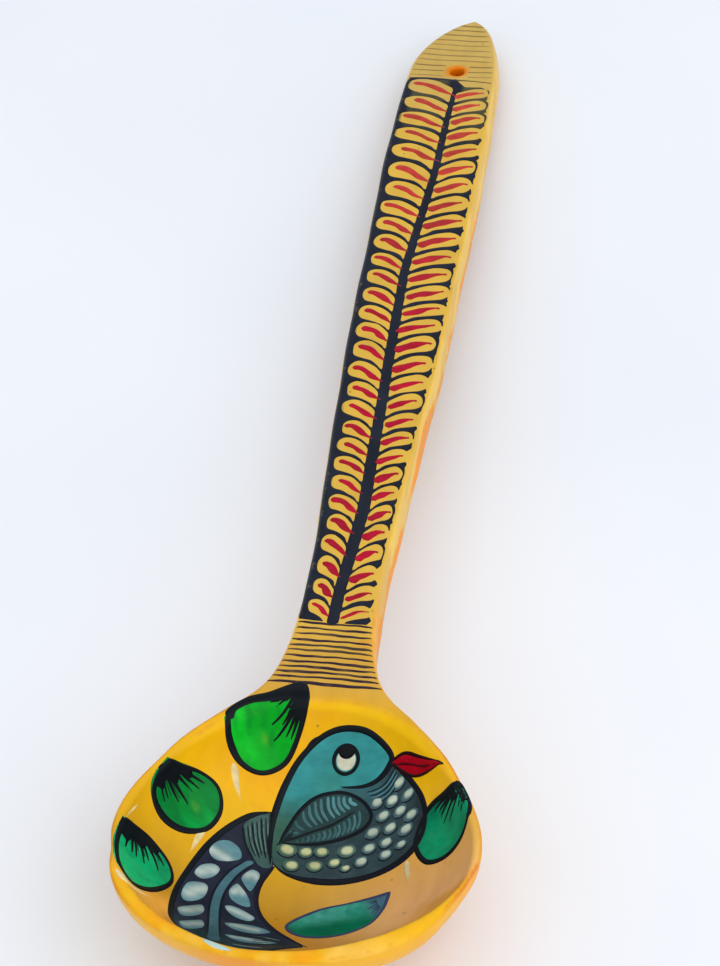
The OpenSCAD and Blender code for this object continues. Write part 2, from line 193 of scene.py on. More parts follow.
def on_top(xy, steps=4):
    xy = np.asarray(xy, float)
    return onto_surface(np.column_stack([xy, top_z(xy[:, 0], xy[:, 1])]), steps)


def row(P):
    """Millimetres with y = 0 at the bowl to metres in the row frame"""
    return (np.asarray(P, float) - [0, YM, 0]) * MM


# ---------------------------------------------------------------------------
# Meshes
# ---------------------------------------------------------------------------
def nets(X, Y, Z, F):
    """Surface nets on a box grid: one vertex per cell that the surface crosses, one quad per crossed grid edge"""
    s = F < 0
    n = [len(X) - 1, len(Y) - 1, len(Z) - 1]
    corner = lambda A, i, j, k: A[i:n[0] + i, j:n[1] + j, k:n[2] + k]
    cnt = sum(corner(s, i, j, k).astype(np.int8) for i in (0, 1) for j in (0, 1) for k in (0, 1))
    act = (cnt > 0) & (cnt < 8)
    ids = -np.ones(act.shape, np.int64)
    ids[act] = np.arange(act.sum())
    I, J, K = np.nonzero(act)
    pos, num = np.zeros((len(I), 3)), np.zeros(len(I))
    ax = (X, Y, Z)
    base = (I, J, K)
    for d in range(3):
        o = [a for a in range(3) if a != d]
        for b in (0, 1):
            for c in (0, 1):
                off = [0, 0, 0]
                off[o[0]], off[o[1]] = b, c
                a0 = tuple(base[m] + off[m] for m in range(3))
                off[d] = 1
                a1 = tuple(base[m] + off[m] for m in range(3))
                fa, fb = F[a0], F[a1]
                m = (fa < 0) != (fb < 0)
                t = np.where(m, fa / np.where(fa == fb, 1, fa - fb), 0)
                p = np.stack([ax[q][a0[q]] * (1 - t) + ax[q][a1[q]] * t for q in range(3)], 1)
                pos += p * m[:, None]
                num += m
    pos /= num[:, None]
    quads = []
    for d in range(3):
        o = [a for a in range(3) if a != d]
        lo = [slice(None)] * 3
        hi = [slice(None)] * 3
        lo[d], hi[d] = slice(0, -1), slice(1, None)
        a, b = s[tuple(lo)], s[tuple(hi)]
        E = np.argwhere(a != b)
        ok = (E[:, o[0]] > 0) & (E[:, o[1]] > 0) & (E[:, o[0]] < n[o[0]]) & (E[:, o[1]] < n[o[1]])
        E = E[ok]
        inside_first = a[tuple(E.T)]
        cyc = []
        for b0, c0 in ((1, 1), (0, 1), (0, 0), (1, 0)):
            q = E.copy()
            q[:, o[0]] -= b0
            q[:, o[1]] -= c0
            cyc.append(ids[tuple(q.T)])
        Q = np.stack(cyc, 1)
        flip = inside_first if d != 1 else ~inside_first
        Q[~flip] = Q[~flip][:, ::-1]
        quads.append(Q)
    return pos, np.vstack(quads)


def new_object(name, V, faces, colours=None, mat=None, stands_for=(), smooth=True):
    me = bpy.data.meshes.new(name)
    me.from_pydata([tuple(v) for v in row(V)], [], [tuple(int(i) for i in f) for f in faces])
    me.validate()
    me.update()
    if smooth:
        me.polygons.foreach_set("use_smooth", [True] * len(me.polygons))
    if colours is not None:
        at = me.attributes.new("Col", "FLOAT_COLOR", "POINT")
        rgba = np.ones((len(V), 4), np.float32)
        rgba[:, :3] = colours
        at.data.foreach_set("color", rgba.ravel())
    ob = bpy.data.objects.new(name, me)
    bpy.context.scene.collection.objects.link(ob)
    if mat:
        me.materials.append(mat)
    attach(ob, "root")
    if stands_for:
        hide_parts(*stands_for)
    return ob


def lin(*rgb):
    c = np.asarray(rgb, float) / 255.0
    return np.where(c <= 0.04045, c / 12.92, ((c + 0.055) / 1.055) ** 2.4)


def noise2(x, y, scale, seed):
    """Smooth value noise, the same every run"""
    u, v = np.asarray(x, float) / scale + 17.3 * seed, np.asarray(y, float) / scale - 9.1 * seed
    i, j = np.floor(u), np.floor(v)
    fu, fv = sm01(u - i), sm01(v - j)
    h = lambda a, b: np.modf(np.abs(np.sin(a * 127.1 + b * 311.7 + seed * 74.7) * 43758.5453))[0]
    return (h(i, j) * (1 - fu) + h(i + 1, j) * fu) * (1 - fv) + (h(i, j + 1) * (1 - fu) + h(i + 1, j + 1) * fu) * fv


def fbm(x, y, scale, seed, n=3):
    return sum(noise2(x, y, scale / 2**k, seed + k) / 2 ** (k + 1) for k in range(n)) / (1 - 0.5**n)


def mixc(a, b, t):
    return np.asarray(a) * (1 - t)[:, None] + np.asarray(b) * t[:, None]


# ---------------------------------------------------------------------------
# Materials
# ---------------------------------------------------------------------------
def paint_material(name, rough=0.34, coat=0.5, coat_rough=0.14, streak=0.12, bump=0.12, grain=(420, 900, 420),
                   speck=0.0, value_noise=0.10, spec=0.3):
    """Hand-brushed gloss paint: colour from the piece's colour attribute, broken by brush streaks and thin spots"""
    m = bpy.data.materials.new(name)
    m.use_nodes = True
    nt = m.node_tree
    nt.nodes.clear()
    N = nt.nodes.new
    out, bs = N("ShaderNodeOutputMaterial"), N("ShaderNodeBsdfPrincipled")
    nt.links.new(bs.outputs[0], out.inputs[0])
    bs.inputs["Coat Weight"].default_value = coat
    bs.inputs["Coat Roughness"].default_value = coat_rough
    bs.inputs["Specular IOR Level"].default_value = spec
    bs.inputs["IOR"].default_value = 1.4
    bs.inputs["Coat IOR"].default_value = 1.4
    att = N("ShaderNodeAttribute")
    att.attribute_name = "Col"
    tc = N("ShaderNodeTexCoord")
    mp = N("ShaderNodeMapping")
    mp.inputs["Scale"].default_value = grain
    nt.links.new(tc.outputs["Object"], mp.inputs[0])
    n1 = N("ShaderNodeTexNoise")
    n1.inputs["Scale"].default_value = 1.0
    n1.inputs["Detail"].default_value = 5
    nt.links.new(mp.outputs[0], n1.inputs["Vector"])
    n2 = N("ShaderNodeTexNoise")
    n2.inputs["Scale"].default_value = 95.0
    n2.inputs["Detail"].default_value = 3
    nt.links.new(tc.outputs["Object"], n2.inputs["Vector"])
    # value variation
    mr = N("ShaderNodeMapRange")
    mr.inputs["From Min"].default_value = 0.3
    mr.inputs["From Max"].default_value = 0.7
    mr.inputs["To Min"].default_value = 1 - streak
    mr.inputs["To Max"].default_value = 1 + streak * 0.6
    nt.links.new(n1.outputs["Fac"], mr.inputs["Value"])
    mr2 = N("ShaderNodeMapRange")
    mr2.inputs["From Min"].default_value = 0.3
    mr2.inputs["From Max"].default_value = 0.7
    mr2.inputs["To Min"].default_value = 1 - value_noise
    mr2.inputs["To Max"].default_value = 1 + value_noise * 0.7
    nt.links.new(n2.outputs["Fac"], mr2.inputs["Value"])
    mul = N("ShaderNodeMath")
    mul.operation = "MULTIPLY"
    nt.links.new(mr.outputs[0], mul.inputs[0])
    nt.links.new(mr2.outputs[0], mul.inputs[1])
    mx = N("ShaderNodeVectorMath")
    mx.operation = "SCALE"
    nt.links.new(att.outputs["Color"], mx.inputs[0])
    nt.links.new(mul.outputs[0], mx.inputs["Scale"])
    colour = mx.outputs[0]
    if speck > 0:
        vo = N("ShaderNodeTexVoronoi")
        vo.inputs["Scale"].default_value = 260.0
        nt.links.new(tc.outputs["Object"], vo.inputs["Vector"])
        lt = N("ShaderNodeMapRange")
        lt.inputs["From Min"].default_value = 0.05
        lt.inputs["From Max"].default_value = 0.11
        lt.inputs["To Min"].default_value = speck
        lt.inputs["To Max"].default_value = 0.0
        nt.links.new(vo.outputs["Distance"], lt.inputs["Value"])
        pick = N("ShaderNodeMapRange")
        pick.inputs["From Min"].default_value = 0.72
        pick.inputs["From Max"].default_value = 0.76
        sep = N("ShaderNodeSeparateColor")
        nt.links.new(vo.outputs["Color"], sep.inputs[0])
        nt.links.new(sep.outputs[0], pick.inputs["Value"])
        mm = N("ShaderNodeMath")
        mm.operation = "MULTIPLY"
        nt.links.new(lt.outputs[0], mm.inputs[0])
        nt.links.new(pick.outputs[0], mm.inputs[1])
        sc = N("ShaderNodeMix")
        sc.data_type = "RGBA"
        nt.links.new(mm.outputs[0], sc.inputs["Factor"])
        nt.links.new(colour, sc.inputs[6])
        sc.inputs[7].default_value = (0.16, 0.085, 0.02, 1)
        colour = sc.outputs[2]
    nt.links.new(colour, bs.inputs["Base Color"])
    rr = N("ShaderNodeMapRange")
    rr.inputs["From Min"].default_value = 0.3
    rr.inputs["From Max"].default_value = 0.7
    rr.inputs["To Min"].default_value = rough - 0.06
    rr.inputs["To Max"].default_value = rough + 0.10
    nt.links.new(n2.outputs["Fac"], rr.inputs["Value"])
    nt.links.new(rr.outputs[0], bs.inputs["Roughness"])
    bp = N("ShaderNodeBump")
    bp.inputs["Strength"].default_value = bump
    bp.inputs["Distance"].default_value = 0.0004
    nt.links.new(n1.outputs["Fac"], bp.inputs["Height"])
    nt.links.new(bp.outputs[0], bs.inputs["Normal"])
    return m


MAT_WOOD = paint_material("yellow_lacquer_on_wood", rough=0.40, coat=0.22, coat_rough=0.10, spec=0.06, streak=0.05, bump=0.10,
                          grain=(260, 60, 260), speck=0.55, value_noise=0.045)
MAT_FLAT = paint_material("brushed_navy_paint", rough=0.46, coat=0.14, coat_rough=0.16, spec=0.06, streak=0.16, bump=0.16,
                          grain=(700, 240, 700))
MAT_LINE = paint_material("brushed_line_paint", rough=0.42, coat=0.14, coat_rough=0.15, spec=0.06, streak=0.14, bump=0.14)
MAT_GLOSS = paint_material("brushed_gloss_paint", rough=0.40, coat=0.15, coat_rough=0.10, spec=0.05, streak=0.16, bump=0.14,
                           grain=(300, 700, 300), value_noise=0.13)

# ---------------------------------------------------------------------------
# The wood
# ---------------------------------------------------------------------------
step = 0.56
X = np.arange(-40.3, 41.0, step)
Y = np.concatenate([np.arange(-35.2, 62, step * 1.05), np.arange(62.6, 262, step * 2.1), np.arange(263, 308.4, step * 1.05)])
Z = np.arange(-0.9, 30.2, step)
gx, gy = X[:, None, None], Y[None, :, None]
gz = Z[None, None, :]
full = lambda a: np.broadcast_to(a, (len(X), len(Y), len(Z)))


def normalised(raw):
    f = raw(gx, gy, gz)
    f = np.array(full(f))
    g = np.gradient(f, X, Y, Z)
    return f / np.maximum(np.sqrt(g[0] ** 2 + g[1] ** 2 + g[2] ** 2), 1e-3)


F = combine(normalised(raw_side), normalised(raw_hollow), full(gx), full(gy), full(gz))
V, Q = nets(X, Y, Z, F)
V, NRM = onto_surface(V, 3)
del F


def wood_colour(P, n):
    """Yellow-ochre lacquer as it was brushed on: fuller in the hollow, orange where it pooled, with painted light: the
    sides pale with painted sheen, painted shade on the hollow's near wall and the far rim, painted highlights on the
    hollow's near right and the near lip
    """
    x, y, z = P.T
    r = rho(x, y)
    top = sm01((n[:, 2] - 0.72) / 0.2)
    n1, n2, n3 = fbm(x, y, 22, 1), fbm(x, y, 7, 4), fbm(x + z, y, 3.2, 9)
    # handle and neck
    face = mixc(lin(222, 178, 68), lin(204, 170, 88), sm01((y - 245) / 34))
    face = mixc(face, lin(210, 162, 62), sm01((62 - y) / 20))
    face = mixc(face, lin(200, 156, 56), 0.35 * sm01((n2 - 0.5) / 0.3))
    # painted sheen: the sides' pale yellow, lighter than the top face
    side = mixc(lin(240, 198, 96), lin(232, 190, 92), n2)
    deep = face_z(y) - z - 3.3 + 1.4 * (n3 - 0.5) + 1.9 * np.exp(-((y - 124) / 11) ** 2) + 1.0 * np.exp(-((y - 60) / 10) ** 2)
    side = mixc(side, lin(246, 148, 0), sm01((fbm(y * 0.4, z * 1.5, 4, 31) - 0.49 + 0.3 * np.exp(-((y - 124) / 14) ** 2) + 0.16 * sm01((110 - y) / 30)) / 0.05) * sm01(deep / 0.4) * sm01((232 - y) / 14) * (x > 0))
    side = mixc(side, lin(240, 146, 2), sm01((74 - y) / 26) * (0.55 + 0.45 * sm01((n2 - 0.35) / 0.3)) * (x > 0))
    # on the other side the lacquer is thinner, with soft warm runs towards the underside
    side = mixc(side, lin(244, 164, 44), 0.6 * sm01((fbm(y * 0.3, z * 1.2, 5, 41) - 0.47) / 0.16) * sm01(deep / 1.6) * (x < 0))
    side = mixc(side, lin(204, 152, 60), 0.35 * sm01((fbm(y * 0.12, z * 2.0, 3, 44) - 0.5) / 0.12))
    side = mixc(side, lin(216, 176, 100), sm01((y - 285) / 15))
    under = mixc(lin(226, 168, 74), lin(236, 146, 30), sm01((n1 - 0.46) / 0.25) * 0.6)
    under = mixc(under, lin(196, 132, 52), 0.45 * sm01((fbm(x, y * 0.2, 4, 47) - 0.48) / 0.14))
    handle = mixc(mixc(under, side, sm01((n[:, 2] + 0.75) / 0.35)), face, top)
    # a small smear of orange on the neck
    sx, sy = x - 7.6, y - 47.2
    ring = np.abs(np.hypot(sx / 2.6, sy / 3.6) - 1 + 0.2 * (n3 - 0.5))
    smear = sm01((0.30 - ring) / 0.22) * (0.35 + 0.65 * sm01((n3 - 0.35) / 0.2)) + 0.35 * sm01((0.9 - np.hypot(sx / 2.4, sy / 3.4)) / 0.4)
    handle = mixc(handle, lin(214, 132, 10), np.clip(smear, 0, 1) * 0.55 * top)
    # bowl
    up = sm01((y + 14) / 34)
    right = sm01((x + 6) / 34)
    # painted shade: the hollow darkens from its bright far wall to its near wall
    inner = mixc(lin(158, 114, 34), lin(244, 190, 0), up)
    # painted reflection: a pale sheen on the near right of the hollow
    inner = mixc(inner, lin(232, 184, 138), right * (1 - up) * 0.95)
    inner = mixc(inner, lin(240, 184, 0), sm01((-x - 14) / 14) * up * 0.5)
    # painted shade on the near right wall of the hollow
    inner = mixc(inner, lin(196, 130, 14), sm01((r - 0.68) / 0.2) * sm01((-y - 7.5) / 3.5) * sm01((x - 4) / 12) * 0.75)
    # painted shade: a darker olive-brown band low on the near wall
    inner = mixc(inner, lin(170, 116, 40), sm01((-y - 12) / 9) * sm01((x + 6) / 12) * sm01((22 - x) / 10) * 0.6)
    # painted highlight: a pale peach patch on the near left of the hollow, beside the tail
    inner = mixc(inner, lin(248, 172, 78), sm01((-y - 10) / 7) * sm01((-x - 18) / 8) * 0.9)
    inner = mixc(inner, lin(246, 160, 10), sm01((n1 - 0.52) / 0.3) * 0.35 * sm01((y - 2) / 12))
    outer = mixc(lin(244, 180, 36), lin(246, 150, 12), sm01((n1 - 0.42) / 0.3) * 0.8)
    outer = mixc(outer, lin(232, 156, 30), sm01((14 - z) / 14) * 0.5)
    rim = mixc(lin(240, 180, 22), lin(240, 148, 8), sm01((n2 - 0.48) / 0.3) * 0.6)
    # painted highlight along the near lip of the rim
    rim = mixc(rim, lin(250, 200, 96), sm01((-y - 24) / 8) * sm01((0.62 - n2) / 0.3) * 0.7)
    # painted shade: the far half of the rim darker
    rim = mixc(rim, lin(214, 158, 40), 0.7 * sm01((y + 4) / 14))
    # rim: the hollow's yellow on its inner half, darker orange-brown along its outer corner, where the surface turns
    # outwards
    rim = mixc(rim, inner, 0.5 * sm01((y + 20) / 12) * (r < 1.04))
    corner_ = sm01((0.97 - n[:, 2]) / 0.2) * (n[:, 0] * x + n[:, 1] * y > 0) * sm01((y + 27) / 14)
    rim = mixc(rim, lin(216, 118, 14), corner_ * (0.35 + 0.6 * sm01((n2 - 0.35) / 0.25)) * np.where(x < 0, 1.0, 0.85))
    w_in = sm01((RIM - 0.4 - z) / 0.9) * (r < 1.03) * sm01((top_z(x, y) + 0.6 - z) / 0.9)
    w_in = np.where(n[:, 2] > 0.05, w_in, 0)
    w_rim = sm01((z - RIM + 1.9) / 1.2)
    bowl = mixc(mixc(outer, rim, w_rim), inner, w_in)
    blend = sm01((y - 27) / 13) * (1 - w_in)
    out = mixc(bowl, handle, blend)
    # the navy paint runs over the left edge of the handle
    lap = sm01((-x - half_w(y) + 1.45) / 0.3) * sm01((z - face_z(y) + 1.5) / 0.5) * sm01((y - 56.5) / 0.8) * sm01((275.4 - y) / 0.8)
    out = mixc(out, lin(20, 25, 38), lap)
    # orange lacquer pooled in and round the hanging hole
    d = np.hypot((x - HOLE[0]), (y - HOLE[1]))
    out = mixc(out, lin(226, 122, 0), sm01((3.7 + 1.2 * (n2 - 0.5) - d) / 1.7))
    # darker orange-brown in patches on the rounded edges of the rim and the neck, where the surface tilts from up
    # towards the side
    edge = sm01((0.93 - n[:, 2]) / 0.1) * sm01((n[:, 2] - 0.45) / 0.2)
    out = mixc(out, lin(214, 132, 40), edge * sm01((n3 - 0.56) / 0.15) * 0.5 * (y < 60) * (1 - w_in))
    return out


body = new_object("spoon_wood", V, Q, wood_colour(V, NRM), MAT_WOOD, ["spoon_body"])


# ---------------------------------------------------------------------------
# Brush tools: films (filled shapes) and strokes (ribbons), both laid on the wood
# ---------------------------------------------------------------------------
def cr(p0, p1, p2, p3, f):
    return 0.5 * (2 * p1 + (p2 - p0) * f + (2 * p0 - 5 * p1 + 4 * p2 - p3) * f * f + (3 * p1 - p0 - 3 * p2 + p3) * f**3)


def curve(pts, closed=False, n=12):
    p = np.asarray(pts, float)
    m = len(p)
    out = []
    if closed:
        for i in range(m):
            for j in range(n):
                out.append(cr(p[i - 1], p[i], p[(i + 1) % m], p[(i + 2) % m], j / n))
    else:
        for i in range(m - 1):
            for j in range(n):
                out.append(cr(p[max(i - 1, 0)], p[i], p[i + 1], p[min(i + 2, m - 1)], j / n))
        out.append(p[-1])
    return np.array(out)


def even(line, step, closed=False):
    """The same line with points about step apart"""
    q = np.vstack([line, line[:1]]) if closed else line
    L = np.concatenate([[0], np.cumsum(np.linalg.norm(np.diff(q, axis=0), axis=1))])
    n = max(int(round(L[-1] / step)), 3 if not closed else 6)
    t = np.linspace(0, L[-1], n + 1)
    r = np.column_stack([np.interp(t, L, q[:, k]) for k in range(q.shape[1])])
    return r[:-1] if closed else r


def loop(pts, step=0.4, corner=False):
    """Closed outline through the given points; with corner, the first point is sharp"""
    if corner:
        line = curve(list(pts) + [pts[0]], False)
        return even(line, step)[:-1]
    return even(curve(pts, True), step, True)


def inside(P, poly):
    x, y = P[:, 0][:, None], P[:, 1][:, None]
    a, b = poly, np.roll(poly, -1, 0)
    c = (a[None, :, 1] > y) != (b[None, :, 1] > y)
    with np.errstate(divide="ignore", invalid="ignore"):
        xi = (b[None, :, 0] - a[None, :, 0]) * (y - a[None, :, 1]) / (b[None, :, 1] - a[None, :, 1]) + a[None, :, 0]
    return (c & (x < xi)).sum(1) % 2 == 1


def dist(P, loops):
    best = np.full(len(P), 1e9)
    for L in loops:
        a, b = L, np.roll(L, -1, 0)
        d = b - a
        dd = np.maximum((d**2).sum(1), 1e-12)
        for s in range(0, len(P), 4000):
            p = P[s:s + 4000]
            t = np.clip(((p[:, None] - a[None]) * d[None]).sum(2) / dd[None], 0, 1)
            e = p[:, None] - (a[None] + t[..., None] * d[None])
            best[s:s + 4000] = np.minimum(best[s:s + 4000], np.sqrt((e**2).sum(2)).min(1))
    return best


def in_region(P, outer, holes):
    k = np.zeros(len(P), bool)
    for o in outer:
        k |= inside(P, o)
    for h in holes:
        lo, hi = h.min(0), h.max(0)
        near = (P[:, 0] >= lo[0]) & (P[:, 0] <= hi[0]) & (P[:, 1] >= lo[1]) & (P[:, 1] <= hi[1])
        idx = np.nonzero(near)[0]
        if len(idx):
            k[idx[inside(P[idx], h)]] = False
    return k


def film_mesh(outer, holes=(), h=0.10, edge=0.3, cell=0.8):
    """A thin domed coat over a region of the top surface. Returns points in mm, faces, and plan points"""
    loops = list(outer) + list(holes)
    coords, edges, ring = [], [], []
    for L in loops:
        s = len(coords)
        coords += [tuple(p) for p in L]
        edges += [(s + i, s + (i + 1) % len(L)) for i in range(len(L))]
        d = np.roll(L, -1, 0) - np.roll(L, 1, 0)
        nn = np.column_stack([-d[:, 1], d[:, 0]]) / np.maximum(np.linalg.norm(d, axis=1), 1e-9)[:, None]
        ring += [L + nn * edge, L - nn * edge]
    ring = np.vstack(ring)
    allp = np.vstack(outer)
    lo, hi = allp.min(0), allp.max(0)
    gx_, gy_ = np.meshgrid(np.arange(lo[0], hi[0], cell), np.arange(lo[1], hi[1], cell))
    gx_ = gx_ + (np.arange(gx_.shape[0])[:, None] % 2) * cell * 0.5
    grid = np.column_stack([gx_.ravel(), gy_.ravel()])
    grid = grid[in_region(grid, outer, holes)]
    grid = grid[dist(grid, loops) > edge + 0.35 * cell]
    ring = ring[in_region(ring, outer, holes)]
    ring = ring[dist(ring, loops) > 0.9 * edge]
    extra = np.vstack([ring, grid]) if len(grid) else ring
    coords += [tuple(p) for p in extra]
    v, e, f, ov, oe, of = delaunay_2d_cdt([Vector(c) for c in coords], edges, [], 0, 1e-4)
    v = np.array([tuple(p) for p in v])
    f = np.array([t for t in f if len(t) == 3])
    cen = v[f].mean(1)
    f = f[in_region(cen, outer, holes)]
    a = v[f]
    area = (a[:, 1, 0] - a[:, 0, 0]) * (a[:, 2, 1] - a[:, 0, 1]) - (a[:, 2, 0] - a[:, 0, 0]) * (a[:, 1, 1] - a[:, 0, 1])
    f = f[np.abs(area) > 1e-7]
    area = area[np.abs(area) > 1e-7]
    f[area < 0] = f[area < 0][:, ::-1]
    # rim of the film: vertices on an edge used by one triangle. A triangle with its three corners on the rim has no
    # thickness, so it is left out
    for _ in range(2):
        used, inv = np.unique(f, return_inverse=True)
        v, f = v[used], inv.reshape(f.shape)
        es = np.sort(np.vstack([f[:, [0, 1]], f[:, [1, 2]], f[:, [2, 0]]]), 1)
        u, c = np.unique(es, axis=0, return_counts=True)
        rim = np.zeros(len(v), bool)
        rim[u[c == 1].ravel()] = True
        f = f[~rim[f].all(1)]
    used, inv = np.unique(f, return_inverse=True)
    v, f, rim = v[used], inv.reshape(f.shape), rim[used]
    d = dist(v, loops)
    t = np.clip(d / edge, 0, 1)
    th = -0.04 + (h + 0.04) * np.sqrt(1 - (1 - t) ** 2)
    th[rim] = -0.04
    P, n = on_top(v)
    top = P + n * (th + 0.012 * (fbm(v[:, 0], v[:, 1], 2.5, 3) - 0.5) * (~rim))[:, None]
    low = P - n * 0.10
    idx = np.arange(len(v))
    low_id = idx.copy()
    k = len(v)
    low_id[~rim] = k + np.arange((~rim).sum())
    V_ = np.vstack([top, low[~rim]])
    F_ = np.vstack([f, low_id[f][:, ::-1]])
    plan = np.vstack([v, v[~rim]])
    return V_, F_, plan


def slope_factor(xy, n):
    """How much longer a step along n is on the surface than in plan"""
    e = 0.2
    a, b = xy + n * e, xy - n * e
    dz = (top_z(a[:, 0], a[:, 1]) - top_z(b[:, 0], b[:, 1])) / (2 * e)
    return np.sqrt(1 + np.clip(dz, -2.5, 2.5) ** 2)


def ribbon_mesh(line, width, h=0.12, closed=False, fine=True):
    """A brush stroke of the given surface width along a plan line"""
    line = np.asarray(line, float)
    if closed:
        d = np.roll(line, -1, 0) - np.roll(line, 1, 0)
    else:
        d = np.gradient(line, axis=0)
    n = np.column_stack([-d[:, 1], d[:, 0]]) / np.maximum(np.linalg.norm(d, axis=1), 1e-9)[:, None]
    half = np.asarray(width) / 2 / slope_factor(line, n)
    if fine:
        offs, hs = [-1, -0.8, -0.4, 0.4, 0.8, 1], [-0.04, 0.6, 1, 1, 0.6, -0.04]
    else:
        offs, hs = [-1, -0.6, 0.6, 1], [-0.04, 0.85, 0.85, -0.04]
    m = len(offs)
    k = len(line)
    xy = np.vstack([line + n * (half * o)[:, None] for o in offs] + [line])
    P, nn = on_top(xy, 3)
    hh = np.concatenate([np.full(k, v if v < 0 else v * h) for v in hs] + [np.full(k, -0.09)])
    thin = np.clip(np.tile(half, m + 1) / 0.22, 0.15, 1)
    hh = np.where(hh > 0, hh * thin, hh)
    P = P + nn * hh[:, None]
    M = m + 1
    idx = np.arange(M * k).reshape(M, k)
    faces = []
    for j in range(M):
        a, b = idx[j], idx[(j + 1) % M]
        if closed:
            faces.append(np.stack([a, np.roll(a, -1), np.roll(b, -1), b], 1))
        else:
            faces.append(np.stack([a[:-1], a[1:], b[1:], b[:-1]], 1))
    faces = [tuple(q[::-1]) for q in np.vstack(faces)]
    if not closed:
        faces.append(tuple(idx[:, 0]))
        faces.append(tuple(idx[::-1, -1]))
    return P, faces, xy


class Pot:
    """Collects the shapes painted in one go, and makes them one piece"""

    def __init__(self):
        self.V, self.F, self.C, self.n = [], [], [], 0

    def add(self, V, F, C):
        self.V.append(V)
        self.F += [tuple(int(i) + self.n for i in f) for f in F]
        C = np.asarray(C, float)
        self.C.append(np.tile(C, (len(V), 1)) if C.ndim == 1 else C)
        self.n += len(V)

    def film(self, outer, holes=(), h=0.10, edge=0.3, cell=0.8, colour=(0, 0, 0)):
        V, F, plan = film_mesh(outer, holes, h, edge, cell)
        self.add(V, F, colour(plan) if callable(colour) else colour)

    def stroke(self, line, width, h=0.12, closed=False, fine=True, colour=(0, 0, 0)):
        V, F, xy = ribbon_mesh(line, width, h, closed, fine)
        self.add(V, F, colour(xy) if callable(colour) else colour)

    def piece(self, name, mat, slot, nodes):
        return new_object(name, np.vstack(self.V), self.F, np.vstack(self.C), mat, nodes)


def taper(n, w, a=0.15, b=0.4, lo=0.12):
    """Width along a stroke: grows over the first part a, thins out over the last part b"""
    t = np.linspace(0, 1, n)
    return w * np.maximum(np.minimum(1, np.sqrt(np.clip(t / max(a, 1e-3), 0, 1))) *
                          np.minimum(1, np.clip((1 - t) / max(b, 1e-3), 0, 1) ** 0.8), lo)


rng = np.random.default_rng(7)
INK = lin(22, 30, 38)
NAVY = lin(40, 47, 66)
# ---------------------------------------------------------------------------
# Paint on the handle
# ---------------------------------------------------------------------------
LEFT_Y = [270.5, 262, 254.2, 246.5, 238.3, 228.4, 220, 211.8, 204, 196, 188.6, 181.4, 173.2, 166, 158.6, 151.2, 142.6,
          135.4, 128.3, 120.6, 114.4, 107.8, 100.8, 94, 87, 79.6, 72.2, 65.2, 59]
RIGHT_Y = [268.6, 262.4, 255.8, 248.6, 240.5, 232, 223.8, 215.4, 207.1, 199.1, 191.2, 183.6, 176.2, 169.2, 162.4, 155,
           147, 139.6, 132.4, 125.4, 118.6, 112, 105.4, 98.6, 91.8, 85, 78, 70.8, 64.4, 58.6]
STEM = np.array([[50, -1.0], [56, -0.7], [66, -0.6], [78, 0.1], [94, 0.9], [114, 0.3], [131, 0], [147, -0.5], [165, -0.9],
                 [186, -1.3], [208, -0.1], [231, 1.2], [254, 1.4], [272, 2.0], [290, 2.4]], float)


def stem_x(y):
    return np.interp(y, STEM[:, 0], STEM[:, 1])


def stem_half(y):
    return np.interp(y, [56, 90, 180, 250, 275], [1.35, 1.5, 1.25, 1.0, 0.7])


LOBE_L = np.array([[0, -0.2], [0.05, 2.7], [0.3, 5.3], [1.5, 7.2], [3.3, 8.6], [5.2, 9.3], [7.1, 9.2], [8.5, 7.9], [8.75, 5.9],
                   [7.8, 4.1], [5.4, 3.25], [3.1, 2.35], [1.3, 1.1]])
LOBE_R = np.array([[0, -0.2], [0.05, 2.7], [0.5, 5.0], [2.1, 7.0], [4.1, 8.2], [6.3, 8.7], [8.0, 8.0], [8.8, 6.2], [8.5, 4.0],
                   [7.0, 3.0], [4.8, 2.45], [2.6, 1.6], [1.2, 0.7]])


def spacing(ys, i):
    a = ys[i - 1] - ys[i] if i > 0 else ys[0] - ys[1]
    b = ys[i] - ys[i + 1] if i < len(ys) - 1 else a
    return 0.5 * (a + b)


def place(side, i, v):
    """Height along the handle of the mark at v in leaf i: neighbours share the gaps between their centres"""
    ys = LEFT_Y if side < 0 else RIGHT_Y
    ext = np.array([2 * ys[0] - ys[1]] + ys + [2 * ys[-1] - ys[-2]])
    return np.interp(-(i + 1) + (np.asarray(v) - 4.9) / 7.3, -np.arange(len(ext))[::-1], ext[::-1])


def lobe_frame(side, i):
    ys = LEFT_Y if side < 0 else RIGHT_Y
    yc = ys[i]
    kv = spacing(ys, i) / 7.3
    xs, hs, w = stem_x(yc), stem_half(yc), float(half_w(yc))
    if side < 0:
        margin = np.interp(yc, [60, 120, 200, 270], [1.55, 1.6, 1.5, 1.3]) + rng.uniform(-0.3, 0.35)
        reach = w - margin + xs - hs
    else:
        margin = np.interp(yc, [60, 120, 200, 270], [1.15, 1.1, 1.2, 1.4]) + rng.uniform(-0.35, 0.35)
        reach = w - margin - xs - hs
    return yc, kv, xs, hs, reach


